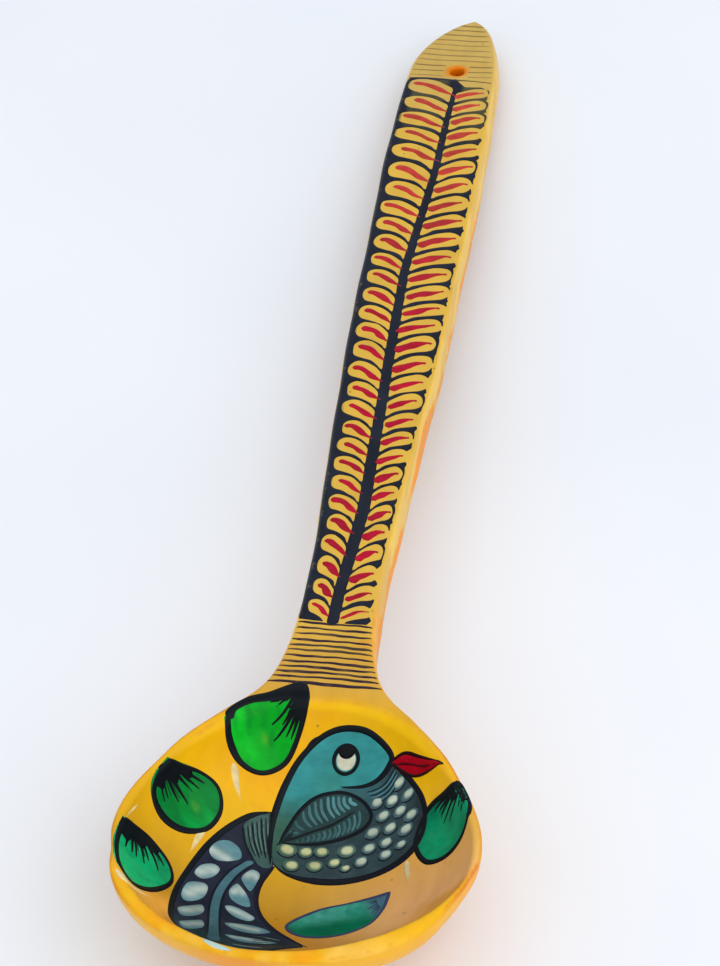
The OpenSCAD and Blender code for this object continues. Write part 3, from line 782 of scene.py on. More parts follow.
lobes, marks = [], []
for side, ys, shape in ((-1, LEFT_Y, LOBE_L), (1, RIGHT_Y, LOBE_R)):
    for i in range(len(ys)):
        yc, kv, xs, hs, reach = lobe_frame(side, i)
        k = reach / 8.65
        s = shape.copy()
        # every leaf is a little different: fuller or flatter, blunter or rounder
        s[:, 1] = 4.9 + (s[:, 1] - 4.9) * rng.uniform(0.95, 1.04)
        s[5:9, 0] += rng.uniform(-0.45, 0.3)
        s[3:7, 1] += rng.uniform(-0.45, 0.15)
        s[9:12, 1] += rng.uniform(-0.15, 0.35)
        s += rng.normal(0, 0.08, s.shape)
        s[:, 0] = np.maximum(s[:, 0], 0)
        pts = np.column_stack([xs + side * (hs + s[:, 0] * k), place(side, i, s[:, 1])])
        # the stem's side follows the stem
        pts[:3, 0] = [stem_x(q) + side * (stem_half(q) + 0.02 + 0.08 * rng.random()) for q in pts[:3, 1]]
        lobes.append((side, i, loop(pts, 0.5)))
        if side < 0:
            c = np.array([[8.1, 7.1], [6.0, 7.0], [3.9, 6.0], [1.9, 4.2], [-0.1 - rng.uniform(0, 1.2), 2.5]])
            c[:1, 0] -= rng.uniform(0, 1.2)
            wd = rng.uniform(1.5, 2.0) if yc > 62 else 1.4
            tp = (0.06, 0.34)
        else:
            c = np.array([[0.2 - 0.5 * (rng.random() < 0.4), 2.7], [2.6, 4.35], [4.9, 5.5], [6.7, 6.0], [8.2, 6.0]])
            c[4:, 0] -= rng.uniform(0, 1.0)
            wd = rng.uniform(2.0, 2.8) if yc > 62 else 1.3
            tp = (0.07, 0.5)
        c = c + rng.normal(0, 0.14, c.shape)
        line = np.column_stack([xs + side * (hs + c[:, 0] * k), place(side, i, c[:, 1])])
        line = even(curve(line), 0.55)
        far = sm01((yc - 150) / 110)
        tone = lin(176, 10, 44) * (1 - far * 0.8) + lin(196, 70, 52) * far * 0.8
        wob = 1 + 0.12 * np.sin(np.linspace(0, 9, len(line)) + rng.uniform(0, 6))
        marks.append((line, taper(len(line), wd * kv, *tp, lo=0.3) * wob, tone * rng.uniform(0.86, 1.08)))

# the navy ground: straight along the left edge, ragged along the right one
ll = [(-float(half_w(y)) - 0.12 + 0.06 * math.sin(y * 0.31), y) for y in np.arange(56.4, 275.3, 1.0)]
top = [(-11.2, 275.9), (-6, 275.7), (0.2, 275.2), (1.6, 276.3), (3.2, 273.9), (4.6, 272.2), (9, 272.4)]
rr = []
for i in range(len(RIGHT_Y)):
    y, sp = RIGHT_Y[i], spacing(RIGHT_Y, i)
    w = float(half_w(y))
    a = rng.uniform(-0.25, 0.3)
    open_end = rng.random() < 0.36
    d = 0.95 if not open_end else 1.75
    rr += [(w - d + 0.12 + a, y + 0.36 * sp), (w - d + 0.22 + a, y + 0.16 * sp), (w - d + a, y - 0.06 * sp),
           (w - 0.95 + rng.uniform(-0.2, 0.15), y - 0.25 * sp), (w - 0.70 + rng.uniform(-0.3, 0.2), y - 0.36 * sp),
           (w - 1.25 + rng.uniform(-0.2, 0.25), y - 0.47 * sp)]
bottom = [(7.0, 55.3), (3, 55.2), (0.6, 55.4), (-0.9, 54.3), (-2.4, 55.5), (-5, 55.6), (-8.1, 55.9)]
panel = even(np.array(ll + top + rr + bottom), 0.55, True)


def navy(p):
    v = 0.8 + 0.5 * fbm(p[:, 0] * 3, p[:, 1], 6, 2)
    c = mixc(lin(16, 21, 33), lin(30, 37, 52), fbm(p[:, 0], p[:, 1], 9, 5))
    worn = sm01((fbm(p[:, 0], p[:, 1], 2.1, 11) - 0.66) / 0.1) * sm01((-p[:, 0] - half_w(p[:, 1]) + 0.8) / 0.4)
    thin = sm01((p[:, 1] - 236) / 34) * sm01((p[:, 0] - stem_x(p[:, 1]) - 1.6) / 1.2)
    c = c * v[:, None]
    c = mixc(c, lin(104, 98, 60), thin * 0.6)
    c = mixc(c, lin(104, 98, 60), sm01((p[:, 1] - 236) / 34) * sm01((stem_x(p[:, 1]) - p[:, 0] - 1.6) / 1.2)
             * sm01((p[:, 0] + half_w(p[:, 1]) - 2.2) / 1.0) * 0.45)
    return mixc(c, lin(150, 132, 92), worn * 0.35)


pot = Pot()
pot.film([panel], [l for _, _, l in lobes], h=0.11, edge=0.24, cell=0.75, colour=navy)
handle_paint = pot.piece("handle_leaf_panel_paint", MAT_FLAT, "navy_paint", ["handle_leaf_panel"])

pot = Pot()
for line, wd, tone in marks:
    pot.stroke(line, wd, h=0.13, colour=lambda p, tone=tone: tone[None] * (0.86 + 0.3 * fbm(p[:, 0], p[:, 1], 1.3, 8))[:, None])
pot.piece("handle_crimson_strokes", MAT_GLOSS, "crimson_paint", ["handle_leaf_strokes"])

# fine bands across the tip
pot = Pot()
for i, y in enumerate([304.2, 301.8, 299.2, 296.4, 293.9, 291.2, 288.4, 285.8, 282.9, 280.2, 277.6]):
    w, c = float(half_w(y)) - 0.55, float(mid_x(y))
    if w < 1:
        continue
    f = np.linspace(-1, 1, 40)
    xs = c + w * f
    ys = y + 0.5 * (f**2 - 1) * 0.5 - 0.25 * f + 0.10 * np.sin(f * 5 + i)
    line = np.column_stack([xs, ys])
    parts = [line]
    if abs(y - 280.2) < 3:
        keep = np.abs(xs - HOLE[0]) > 2.9
        parts = [line[(xs < HOLE[0]) & keep], line[(xs > HOLE[0]) & keep]]
    tone = mixc(lin(134, 110, 60), lin(168, 140, 80), np.array([rng.random()]))[0]
    for q in parts:
        if len(q) > 3:
            q = even(q, 0.6)
            pot.stroke(q, taper(len(q), rng.uniform(0.5, 0.8), 0.06, 0.12, 0.3), h=0.08, fine=False, colour=tone)
line = even(curve([(-11.3, 275.6), (-6, 275.9), (0, 275.5), (6, 275.3), (11.6, 274.6)]), 0.6)
pot.stroke(line, np.interp(np.linspace(0, 1, len(line)), [0, 0.45, 0.7, 1], [1.0, 0.9, 0.5, 0.4]), h=0.13,
           colour=lambda p: mixc(NAVY, lin(122, 100, 60), sm01((p[:, 0] + 1) / 7)))
pot.piece("tip_band_lines", MAT_LINE, "brown_line_paint", ["tip_bands"])

# bands across the neck
pot = Pot()
ny = [55.0, 53.4, 51.8, 50.0, 48.5, 47.1, 45.4, 43.7, 42.2, 40.8, 39.4, 37.7]
for i, y in enumerate(ny):
    w = float(half_w(y)) - 0.25
    f = np.linspace(-1, 1, 46)
    f = f * (1 + 0.02 * rng.normal())
    ys = y - 0.35 * ((f + 1) / 2) ** 2 + 0.10 * np.sin(f * 4 + rng.uniform(0, 6)) + 0.05 * np.sin(f * 13 + i)
    line = even(np.column_stack([w * np.clip(f, -1, 1), ys]), 0.5)
    wd = (1.15 if i == len(ny) - 1 else rng.uniform(0.74, 0.96))
    t = np.linspace(0, 1, len(line))
    width = wd * (0.85 + 0.3 * np.sin(t * 7 + i * 2.1) * 0.5) * np.minimum(1, 0.4 + 6 * np.minimum(t, 1 - t))
    base = lin(48, 34, 46) if i not in (4, 5) else lin(70, 60, 48)
    pot.stroke(line, width, h=0.10, fine=False,
               colour=lambda p, base=base: mixc(base, lin(120, 92, 60), sm01((fbm(p[:, 0], p[:, 1] * 3, 3.0, 6) - 0.5) / 0.25) * 0.5))
pot.piece("neck_band_lines", MAT_LINE, "plum_line_paint", ["neck_bands"])

# ---------------------------------------------------------------------------
# Leaves in the bowl: first point is the tip
# ---------------------------------------------------------------------------
LEAVES = [
    dict(o=[(-3.9, 37.4), (-9.6, 34.8), (-15.6, 32.4), (-19.2, 28.8), (-19.5, 24.8), (-16.9, 22.0), (-12, 21.7), (-7, 24.4),
            (-4.3, 29.0), (-2.9, 33.6)], c=(0, 172, 36), d=(0, 132, 42), e=(8, 204, 40), n=8, line=2.0, reach=0.66),
    dict(o=[(-29.9, 14.8), (-32, 10.4), (-32.2, 6.8), (-29.8, 4.4), (-25.5, 4.6), (-21, 7.6), (-18.9, 12.4),
            (-20.1, 16.4), (-24.2, 17.0)], c=(0, 142, 54), d=(0, 108, 48), e=(0, 172, 78), n=7, line=1.55, reach=0.6),
    dict(o=[(-36.2, -1.0), (-37.0, -5.6), (-36.6, -9.8), (-34.8, -13.8), (-31.6, -16.4), (-28.2, -13.4), (-25.8, -7.8), (-27.3, -3.2),
            (-31.6, -0.6)], c=(12, 178, 112), d=(0, 130, 84), e=(64, 208, 120), n=7, line=1.5, reach=0.7),
    dict(o=[(33.2, 13.6), (28.8, 14), (24.6, 13.0), (22.3, 7.4), (25.2, 2.2), (30, 1.0), (33.6, 3), (34.8, 7.8)],
         c=(0, 144, 100), d=(0, 112, 78), e=(16, 160, 110), n=7, line=1.35, reach=0.6),
    dict(o=[(18.6, -2.2), (10.6, -3.6), (3.4, -5.8), (-2.2, -11.2), (1.6, -14.8), (9, -14.8), (15.2, -11.6), (17.8, -6.8)],
         c=(66, 160, 142), d=(14, 122, 96), e=(84, 172, 158), n=6, line=0.85, reach=0.36),
]
coats, lines_pot = Pot(), Pot()
for k, lf in enumerate(LEAVES):
    o = loop(lf["o"], 0.42, corner=True)
    tip = np.array(lf["o"][0])
    cen = o.mean(0)
    base_pt = o[np.argmax(((o - tip) @ (cen - tip)))]
    axis = base_pt - tip
    L = np.linalg.norm(axis)
    ax = axis / L
    sd = np.array([-ax[1], ax[0]])
    ink = INK * 0.55 if k != 4 else lin(54, 66, 96)

    def green(p, lf=lf, tip=tip, ax=ax, sd=sd, L=L, k=k):
        s = (p - tip) @ ax / L
        q = (p - tip) @ sd / (0.32 * L)
        c = np.tile(lin(*lf["c"]), (len(p), 1))
        c = mixc(c, lin(*lf["e"]), 0.6 * sm01((fbm(p[:, 0], p[:, 1], 5.5, 20 + k) - 0.44) / 0.3) * sm01((s - 0.35) / 0.3))
        c = mixc(c, lin(*lf["d"]), (0.7 if k == 0 else 0.5) * sm01((np.abs(q) - 0.72) / 0.35))
        if k == 0:
            c = c * (1 - 0.45 * sm01((0.3 - s) / 0.22))[:, None]
        c = mixc(c, lin(*lf["d"]), 0.6 * sm01((fbm(p[:, 0] * 2, p[:, 1], 3.0, 33 + k) - 0.5) / 0.3))
        if k == 4:
            c = mixc(c, lin(0, 104, 72), sm01((-6.6 - p[:, 1] - 0.22 * (6 - p[:, 0])) / 5.5))
            c = mixc(c, lin(70, 84, 120), 0.8 * sm01((0.32 - s) / 0.2))
        # painted highlight: a small yellow-green glint on the first two leaves
        painted_glint = np.exp(-(((p - (tip + ax * L * 0.62 + sd * L * 0.06)) ** 2).sum(1)) / 0.35)
        return mixc(c, lin(120, 190, 40), 0.45 * painted_glint * (k < 2))

    coats.film([o], h=0.11, edge=0.3, cell=0.5 if k == 0 else 0.75, colour=green)
    # outline, heavier on the tip's side and along one edge
    t = np.linspace(0, 1, len(o))
    wob = 0.86 + 0.22 * np.sin(2 * np.pi * (t * 1.0 - 0.06 * k)) + 0.08 * np.sin(2 * np.pi * (t * 3 + 0.3 * k))
    near_tip = np.exp(-(np.minimum(t, 1 - t) / 0.12) ** 2)
    width = lf["line"] * (wob + 0.45 * near_tip + 0.5 * np.exp(-(t / 0.24) ** 2) * (k != 4))
    inner = o + (cen - o) / np.maximum(np.linalg.norm(cen - o, axis=1), 1e-6)[:, None] * (width * 0.36)[:, None]
    lines_pot.stroke(inner, width, h=0.18, closed=True, colour=ink)
    # the dark cap at the tip and its feathering
    span = []
    for sgn in (-1, 1):
        side_pts = o[((o - tip) @ sd) * sgn >= 0]
        s_ = (side_pts - tip) @ ax / L
        side_pts = side_pts[np.argsort(s_)]
        s_ = np.sort(s_)
        span.append((s_, side_pts))

    def edge_at(s, sgn):
        s_, pts = span[0] if sgn < 0 else span[1]
        return np.array([np.interp(s, s_, pts[:, 0]), np.interp(s, s_, pts[:, 1])])

    if k != 4:
        cap = [tip + ax * 0.2]
        for s in (0.06, 0.13, 0.2, 0.27):
            cap.append(edge_at(s, 1) * 0.94 + (tip + ax * s * L) * 0.06)
        m = 7
        for j in range(m):
            f = 1 - 2 * (j + 0.5) / m
            e1, e2 = edge_at(0.25, 1), edge_at(0.25, -1)
            pos = e1 * (0.5 + f / 2) + e2 * (0.5 - f / 2)
            cap.append(pos + ax * L * (0.07 if j % 2 else -0.03))
        for s in (0.27, 0.2, 0.13, 0.06):
            cap.append(edge_at(s, -1) * 0.94 + (tip + ax * s * L) * 0.06)
        lines_pot.film([even(np.array(cap), 0.4, True)], h=0.145, edge=0.22, cell=0.6 if k == 0 else 0.8, colour=ink)
    n = lf["n"]
    for layer, (tone, more, wd, cnt) in enumerate([(lin(*lf["d"]) * 0.45 + ink * 0.4, 1.14, 1.0, n), (ink, 1.0, 2.15 if k == 0 else 1.85, n)]):
        for j in range(cnt):
            f = 1 - 2 * (j + 0.5) / cnt + rng.uniform(-0.08, 0.08)
            s0, s1 = 0.14, lf["reach"] * more * rng.uniform(0.72, 1.05) * (1 - 0.2 * abs(f))
            pts = []
            for s in np.linspace(s0, s1, 5):
                e1, e2 = edge_at(s, 1), edge_at(s, -1)
                spread = f * (0.60 + 0.22 * (s - s0) / max(s1 - s0, 1e-3))
                pts.append(e1 * (0.5 + spread / 2) + e2 * (0.5 - spread / 2))
            line = even(curve(pts), 0.45)
            tt = np.linspace(0, 1, len(line))
            if k == 4:
                wd = 0.7
            lines_pot.stroke(line, wd * rng.uniform(0.75, 1.1) * np.maximum(1 - tt, 0.08) ** 0.8, h=0.14 + 0.02 * layer,
                             fine=False, colour=tone)
coats.piece("leaf_green_paint", MAT_GLOSS, "green_paint", ["leaf_coats"])
lines_pot.piece("leaf_black_linework", MAT_LINE, "black_line_paint", ["leaf_linework"])

# ---------------------------------------------------------------------------
# The bird
# ---------------------------------------------------------------------------
HEAD = [(-8.4, 5.6), (-8.9, 11.0), (-8.5, 15.8), (-7.4, 20.0), (-5.4, 24.0), (-2.4, 27.3), (1.4, 29.5), (5.4, 30.3),
        (9.6, 29.7), (13.4, 27.6), (15.9, 24.9), (15.0, 23.2), (12.6, 21.9), (9.6, 21.3), (5.6, 21.4), (0.2, 19.4),
        (-3.6, 16.2), (-5.4, 12.4), (-6.8, 8.6)]
WING = [(-6.8, 10.1), (-5.2, 13.4), (-3.4, 16.8), (-0.8, 19.3), (2.5, 20.7), (6.1, 20.8), (9.5, 19.4), (11.8, 17.2),
        (12.4, 15.2), (10.9, 13.3), (7, 11.9), (2.8, 10.9), (-1.4, 10.2)]
BREAST = [(15.8, 24.6), (18.4, 21.8), (20.9, 19.0), (23.5, 15.4), (24.6, 11.4), (23.6, 7.8), (20.2, 4.9), (14.6, 2.9), (7.4, 1.9),
          (0, 2.2), (-5, 3.3), (-7.6, 5), (-8.2, 8.4), (-7, 12), (-4, 16), (-0.8, 19.4), (4.2, 22.6), (9.8, 22.6), (13.6, 23.2)]
TAIL = [(-9.6, 15.6), (-13.4, 13.6), (-17.6, 9.4), (-21, 4.2), (-23.4, -1.8), (-24.8, -8.2), (-24.6, -14.8), (-23.2, -20.6),
        (-20.4, -25.4), (-15.6, -28.4), (-10, -28.4), (-6.4, -24.6), (-1.6, -20.8), (3.0, -19.2), (-0.8, -15.8), (-4.6, -12.9),
        (-7.8, -9.2), (-9.5, -4.6), (-9.2, 0), (-7.2, 4.2), (-8.3, 9.8)]
BEAK = [(27.7, 18.4), (25.8, 19.9), (23.7, 21.4), (21.6, 22.8), (19.8, 24.0), (18.2, 24.6), (16.6, 24.6), (15.8, 23.9), (18.3, 22.0),
        (19.9, 20.7), (21.4, 19.8), (23.2, 19.2), (25.2, 18.8)]

head, wing, breast, tail, beak = loop(HEAD), loop(WING, corner=True), loop(BREAST), loop(TAIL), loop(BEAK, corner=True)


def head_tone(p):
    y, x = p[:, 1], p[:, 0]
    c = mixc(lin(60, 102, 86), lin(54, 150, 153), sm01((y - 13) / 9))
    c = mixc(c, lin(74, 172, 178), sm01((fbm(x, y, 6, 12) - 0.42) / 0.3) * 0.7 * sm01((y - 15) / 8))
    c = mixc(c, lin(56, 92, 80), sm01((13 - y) / 6))
    return mixc(c, lin(56, 128, 112), 0.5 * np.exp(-((x - 3) ** 2 + (y - 21.6) ** 2) / 16))


def breast_tone(p):
    x, y = p[:, 0], p[:, 1]
    c = mixc(lin(40, 54, 60), lin(56, 80, 84), fbm(x, y, 3.0, 14))
    c = mixc(c, lin(60, 108, 116), sm01((y - 14) / 6) * sm01((16 - x) / 3) * 0.8)
    c = mixc(c, lin(60, 96, 86), sm01((-2 - x) / 5) * 0.8)
    return mixc(c, lin(36, 40, 54), sm01((x - 20.5) / 4) * 0.6)


pot = Pot()
pot.film([head], h=0.12, edge=0.3, cell=0.8, colour=head_tone)
pot.piece("bird_head_teal_paint", MAT_GLOSS, "teal_paint", ["bird_head_coat"])


def dab(pot, at, size, turn, tone, h=0.15, power=2.6, step=0.35):
    t = np.linspace(0, 2 * np.pi, 28, endpoint=False)
    c, s = np.cos(t), np.sin(t)
    u = np.sign(c) * np.abs(c) ** (2 / power) * size[0] / 2
    v = np.sign(s) * np.abs(s) ** (2 / power) * size[1] / 2
    u = u * (1 + 0.10 * np.sin(2 * t + at[0])) + 0.08 * np.sin(3 * t + at[1])
    ca, sa = math.cos(turn), math.sin(turn)
    o = np.column_stack([at[0] + ca * u - sa * v, at[1] + sa * u + ca * v])
    pot.film([even(o, step, True)], h=h, edge=0.28, cell=0.6,
             colour=lambda p: tone[None] * (0.82 + 0.36 * fbm(p[:, 0], p[:, 1], 1.6, 24))[:, None])


# breast: teal scales on a dark ground, each to carry a pale dab
SCALES = [(17.9, 20.1, 1.0), (20.2, 17.4, .95), (16.7, 17.5, 1.05), (13.3, 18.0, 1), (18.7, 15.0, 1), (21.2, 13.4, 1), (15.0, 15.1, 1),
          (16.8, 12.3, 1.05), (20.3, 11.0, 1.05), (13.0, 12.2, 1.1), (16.2, 9.5, 1), (19.6, 8.2, .85), (12.6, 9.0, 1.05),
          (16.4, 6.9, 1), (7.8, 9.0, 1.25), (11.2, 6.2, 1.05), (5.4, 6.4, 1.0), (8.0, 5.0, .8), (2.4, 8.9, 1.05), (-1.0, 8.6, 1.1),
          (-5.0, 8.6, 1.3), (1.3, 5.6, 1.15), (-3.6, 5.2, 1.15)]
pot = Pot()
pot.film([breast], h=0.08, edge=0.3, cell=0.8, colour=breast_tone)
for x, y, s in SCALES:
    tone = mixc(lin(74, 104, 92), lin(74, 104, 112), np.array([sm01((x - 4) / 10)]))[0]
    dab(pot, (x - 0.05, y + 0.05), (3.3 * s, 2.7 * s), 0.12, tone, h=0.115, power=2.5)
pot.piece("bird_breast_paint", MAT_GLOSS, "dark_teal_paint", ["bird_breast_coat"])

# wing: a dark leaf shape with pale curved barbs either side of the vein
VEIN = [(-5.9, 10.4), (-0.6, 12.9), (3.6, 14.6), (6.7, 16.2), (10.1, 18.2)]
vein = even(curve(VEIN, n=16), 0.3)


def edge_y(x, y0, step):
    y = y0
    while inside(np.array([[x, y + step]]), wing)[0] and abs(y - y0) < 12:
        y += step
    return y


pot = Pot()
pot.film([wing], h=0.16, edge=0.3, cell=0.8, colour=lambda p: mixc(lin(36, 56, 58), lin(48, 78, 78), fbm(p[:, 0], p[:, 1], 3, 15)))
barbs_dark = []
for j in range(14):
    s = 0.10 + 0.066 * j
    vx, vy = vein[min(int(s * (len(vein) - 1)), len(vein) - 1)]
    lo = edge_y(vx, vy, -0.12)
    if vy - lo > 1.2:
        tone = mixc(lin(54, 80, 76), lin(74, 122, 128), np.array([s]))[0] * (0.88 + 0.14 * math.cos(j * 2.1))
        pts = [(vx + 0.15, vy - 0.4), (vx + 0.6, (vy + lo) / 2), (vx - 0.1, lo + 0.5)]
        line = even(curve(pts), 0.3)
        pot.stroke(line, taper(len(line), 0.98, 0.12, 0.25, 0.4), h=0.2, fine=False, colour=tone)
for j in range(12):
    s = 0.16 + 0.072 * j
    vx, vy = vein[min(int(s * (len(vein) - 1)), len(vein) - 1)]
    tx = vx - 3.2 + 1.2 * s
    hi = edge_y(tx, float(np.interp(tx, vein[:, 0], vein[:, 1])) + 0.3, 0.12)
    if hi - vy < 0.5 and s < 0.4:
        continue
    tone = mixc(lin(52, 80, 78), lin(92, 154, 160), np.array([s]))[0] * (0.9 + 0.12 * math.cos(j * 1.7))
    pts = [(tx, hi - 0.45), ((tx + vx) / 2 - 0.75, (hi + vy) / 2 - 0.1), (vx - 0.1, vy + 0.5)]
    line = even(curve(pts), 0.3)
    pot.stroke(line, taper(len(line), 0.8 + 0.45 * s, 0.15, 0.3, 0.35), h=0.2, fine=False, colour=tone)
pot.piece("bird_wing_paint", MAT_LINE, "dark_teal_paint", ["bird_wing_coat"])

# tail, its collar and midrib
RIBL = [(-12.9, 4.2), (-15.9, 0.6), (-17.8, -4.4), (-18.1, -9.8), (-17.0, -16.8), (-15.6, -23.4)]
RIBR = [(-11.2, 4.0), (-14.0, 0.4), (-15.8, -4.4), (-16.0, -9.4), (-14.9, -15.8), (-13.2, -22.8)]
CL = [(-14.6, 11.4), (-13.5, 7.6), (-10.9, 4.2)]
CR = [(-9.4, 15.5), (-8.9, 11.6), (-7.8, 5.4)]
COLLAR = [(-9.4, 15.5), (-12.0, 14.3), (-14.6, 11.4), (-13.5, 7.6), (-10.9, 4.2), (-8.8, 3.4), (-7.4, 4.6), (-8.4, 8.6), (-8.9, 11.6)]


def tail_tone(p):
    x, y = p[:, 0], p[:, 1]
    c = mixc(lin(26, 30, 44), lin(40, 46, 66), fbm(x, y, 3.0, 18))
    return mixc(c, lin(30, 48, 50), sm01((-y - 16) / 5) * 0.7)


pot = Pot()
pot.film([tail], h=0.08, edge=0.3, cell=0.8, colour=tail_tone)
rib = loop(RIBL + RIBR[::-1], 0.4)
pot.film([rib], h=0.14, edge=0.22, cell=0.7,
         colour=lambda p: mixc(lin(56, 96, 108), lin(80, 122, 134), fbm(p[:, 0], p[:, 1], 4, 19)) * (1 - 0.35 * sm01((-p[:, 1] - 13) / 8))[:, None])
pot.film([loop(COLLAR, 0.4)], h=0.14, edge=0.22, cell=0.8,
         colour=lambda p: mixc(lin(54, 80, 76), lin(76, 108, 102), fbm(p[:, 0] * 2.4, p[:, 1], 3, 21)))
pot.piece("bird_tail_paint", MAT_GLOSS, "dark_teal_paint", ["bird_tail_coat"])

# pale patches between the barbs of the tail: a teal patch with a whiter stroke in it
PATCHES = [
    ([(-20.6, 3.6), (-19.3, 6.2), (-16.8, 7.4), (-14.4, 6.4), (-13.9, 4.2), (-16.4, 2.6), (-19.2, 2.0)], [(-20.1, 3.8), (-18.6, 3.6), (-16.6, 3.2)], 1.6),
    ([(-22.6, -2.8), (-21.6, -0.2), (-19.2, 1.2), (-17.6, 0.4), (-18.6, -2.0), (-20.8, -3.6)], [(-21.6, -2.2), (-20.2, -0.9), (-18.6, -0.1)], 1.9),
    ([(-24.0, -9.6), (-23.4, -5.8), (-20.8, -4.2), (-19.2, -4.8), (-19.4, -8.0), (-21.2, -10.6), (-23, -11.4)], [(-22.6, -8.8), (-21.4, -7.0), (-19.9, -5.7)], 2.2),
    ([(-23.6, -14.6), (-21.8, -12.2), (-19.4, -10.4), (-18.6, -12.8), (-20.4, -15.8), (-22.4, -17.0)], [(-22.4, -15.0), (-21, -13.4), (-19.4, -12.0)], 1.7),
    ([(-22.0, -20.4), (-20.6, -17.6), (-18.4, -15.6), (-17.4, -18.0), (-18.8, -21.2), (-20.4, -23.2)], [(-20.8, -20.6), (-19.6, -18.8), (-18.4, -17.4)], 1.5),
    ([(-13.4, 0.2), (-11.6, 2.6), (-9.6, 2.0), (-9.9, -0.6), (-10.9, -3.0), (-12.6, -1.6)], [(-12.2, 0.9), (-11.0, 1.5), (-10.2, 0.9)], 1.5),
    ([(-15.3, -3.9), (-14.0, -1.6), (-12.4, -2.6), (-10.8, -4.8), (-10.2, -7.2), (-12.4, -7.4), (-14.6, -6.2)], [(-14.2, -4.0), (-13.3, -3.0), (-12.4, -3.6)], 1.5),
    ([(-15.4, -8.8), (-13.6, -7.9), (-10.9, -8.7), (-8.6, -10.2), (-9.8, -11.8), (-13.2, -11.2)], [(-14.2, -9.2), (-12.0, -9.7), (-9.8, -10.4)], 1.4),
    ([(-14.4, -14.2), (-11.4, -13.0), (-7.6, -12.8), (-4.6, -14.2), (-7.8, -15.8), (-11.6, -15.9)], [(-12.8, -14.2), (-10, -14.2), (-7.4, -14.3)], 1.0),
    ([(-13.4, -18.6), (-10, -17.7), (-5.8, -17.4), (-2.4, -18.2), (-6, -19.6), (-10.4, -20.2)], [(-11.8, -18.8), (-8.6, -18.6), (-5, -18.5)], 0.8),
]
pot = Pot()
for n_, (pts, hl, wd) in enumerate(PATCHES):
    o = loop(pts, 0.35)
    fade = 1.0 if pts[0][1] > -12 else 0.74
    streak = even(curve(hl), 0.3)

    def soft(p, streak=streak, wd=wd, fade=fade):
        d = np.sqrt(((p[:, None, :] - streak[None]) ** 2).sum(2)).min(1)
        c = mixc(lin(78, 122, 134), lin(108, 154, 162), fbm(p[:, 0], p[:, 1], 2.2, 24))
        return mixc(c, lin(190, 204, 196), np.exp(-(d / (0.6 * wd)) ** 2) * 0.85) * fade

    pot.film([o], h=0.15, edge=0.28, cell=0.45, colour=soft)
for pts, wd, tone in [([(-14.4, -30.2), (-11.6, -31.6), (-8.4, -32.6)], 1.8, lin(176, 214, 216)), ([(-19.6, -24.4), (-15.4, -26.4), (-10.6, -26.4)], 0.8, lin(104, 128, 124)), ([(-11.6, -22.6), (-7.6, -21.8), (-3.4, -20.6)], 0.7, lin(112, 130, 124)),
                      ([(-9.4, -16.8), (-4.6, -16.6), (-0.6, -17.4)], 0.6, lin(96, 122, 118))]:
    line = even(curve(pts), 0.3)
    soft_edge = wd > 1.5

    def glaze(p, line=line, wd=wd, tone=tone, soft_edge=soft_edge):
        d = np.sqrt(((p[:, None, :] - line[None, 2:-2]) ** 2).sum(2)).min(1) / (0.5 * wd)
        return mixc(np.tile(tone, (len(p), 1)), lin(246, 196, 70), sm01((d - 0.25) / 0.75) * soft_edge)

    pot.stroke(line, taper(len(line), wd, 0.35, 0.55), h=0.10 if soft_edge else 0.17, fine=soft_edge, colour=glaze)
pot.piece("tail_pale_dabs", MAT_GLOSS, "pale_teal_paint", ["tail_marks"])

# pale dabs on the breast's scales
pot = Pot()
for x, y, s in SCALES:
    tone = mixc(lin(200, 202, 150), lin(190, 204, 186), np.array([sm01((x - 4) / 10)]))[0] * rng.uniform(0.88, 1.1)
    rim_ = mixc(lin(96, 124, 104), lin(96, 124, 126), np.array([sm01((x - 4) / 10)]))[0]
    turn = rng.uniform(-0.2, 0.3)
    t = np.linspace(0, 2 * np.pi, 30, endpoint=False)
    u = 1.28 * s * np.sign(np.cos(t)) * np.abs(np.cos(t)) ** 0.82
    v = 0.98 * s * np.sign(np.sin(t)) * np.abs(np.sin(t)) ** 0.82
    o = np.column_stack([x + 0.05 + math.cos(turn) * u - math.sin(turn) * v, y + 0.12 + math.sin(turn) * u + math.cos(turn) * v])
    pot.film([even(o, 0.28, True)], h=0.17, edge=0.3, cell=0.42,
             colour=lambda p, x=x, y=y, s=s, tone=tone, rim_=rim_: mixc(tone, rim_, sm01((np.hypot((p[:, 0] - x - 0.1) / 1.28, (p[:, 1] - y - 0.2) / 0.98) / s - 0.52) / 0.5)))
pot.piece("breast_scale_dabs", MAT_GLOSS, "cream_paint", ["bird_scale_marks"])

# black line-work of the bird
pot = Pot()


def brush(pts, wd, h=0.19, tone=INK * 0.6, a=0.1, b=0.25, lo=0.2, fine=True, n=12):
    line = even(curve(pts, n=n), 0.42)
    w = taper(len(line), wd, a, b, lo)
    w = w * (1 + 0.07 * np.sin(np.linspace(0, 14, len(line)) + pts[0][0]))
    pot.stroke(line, w, h=h, fine=fine, colour=tone)


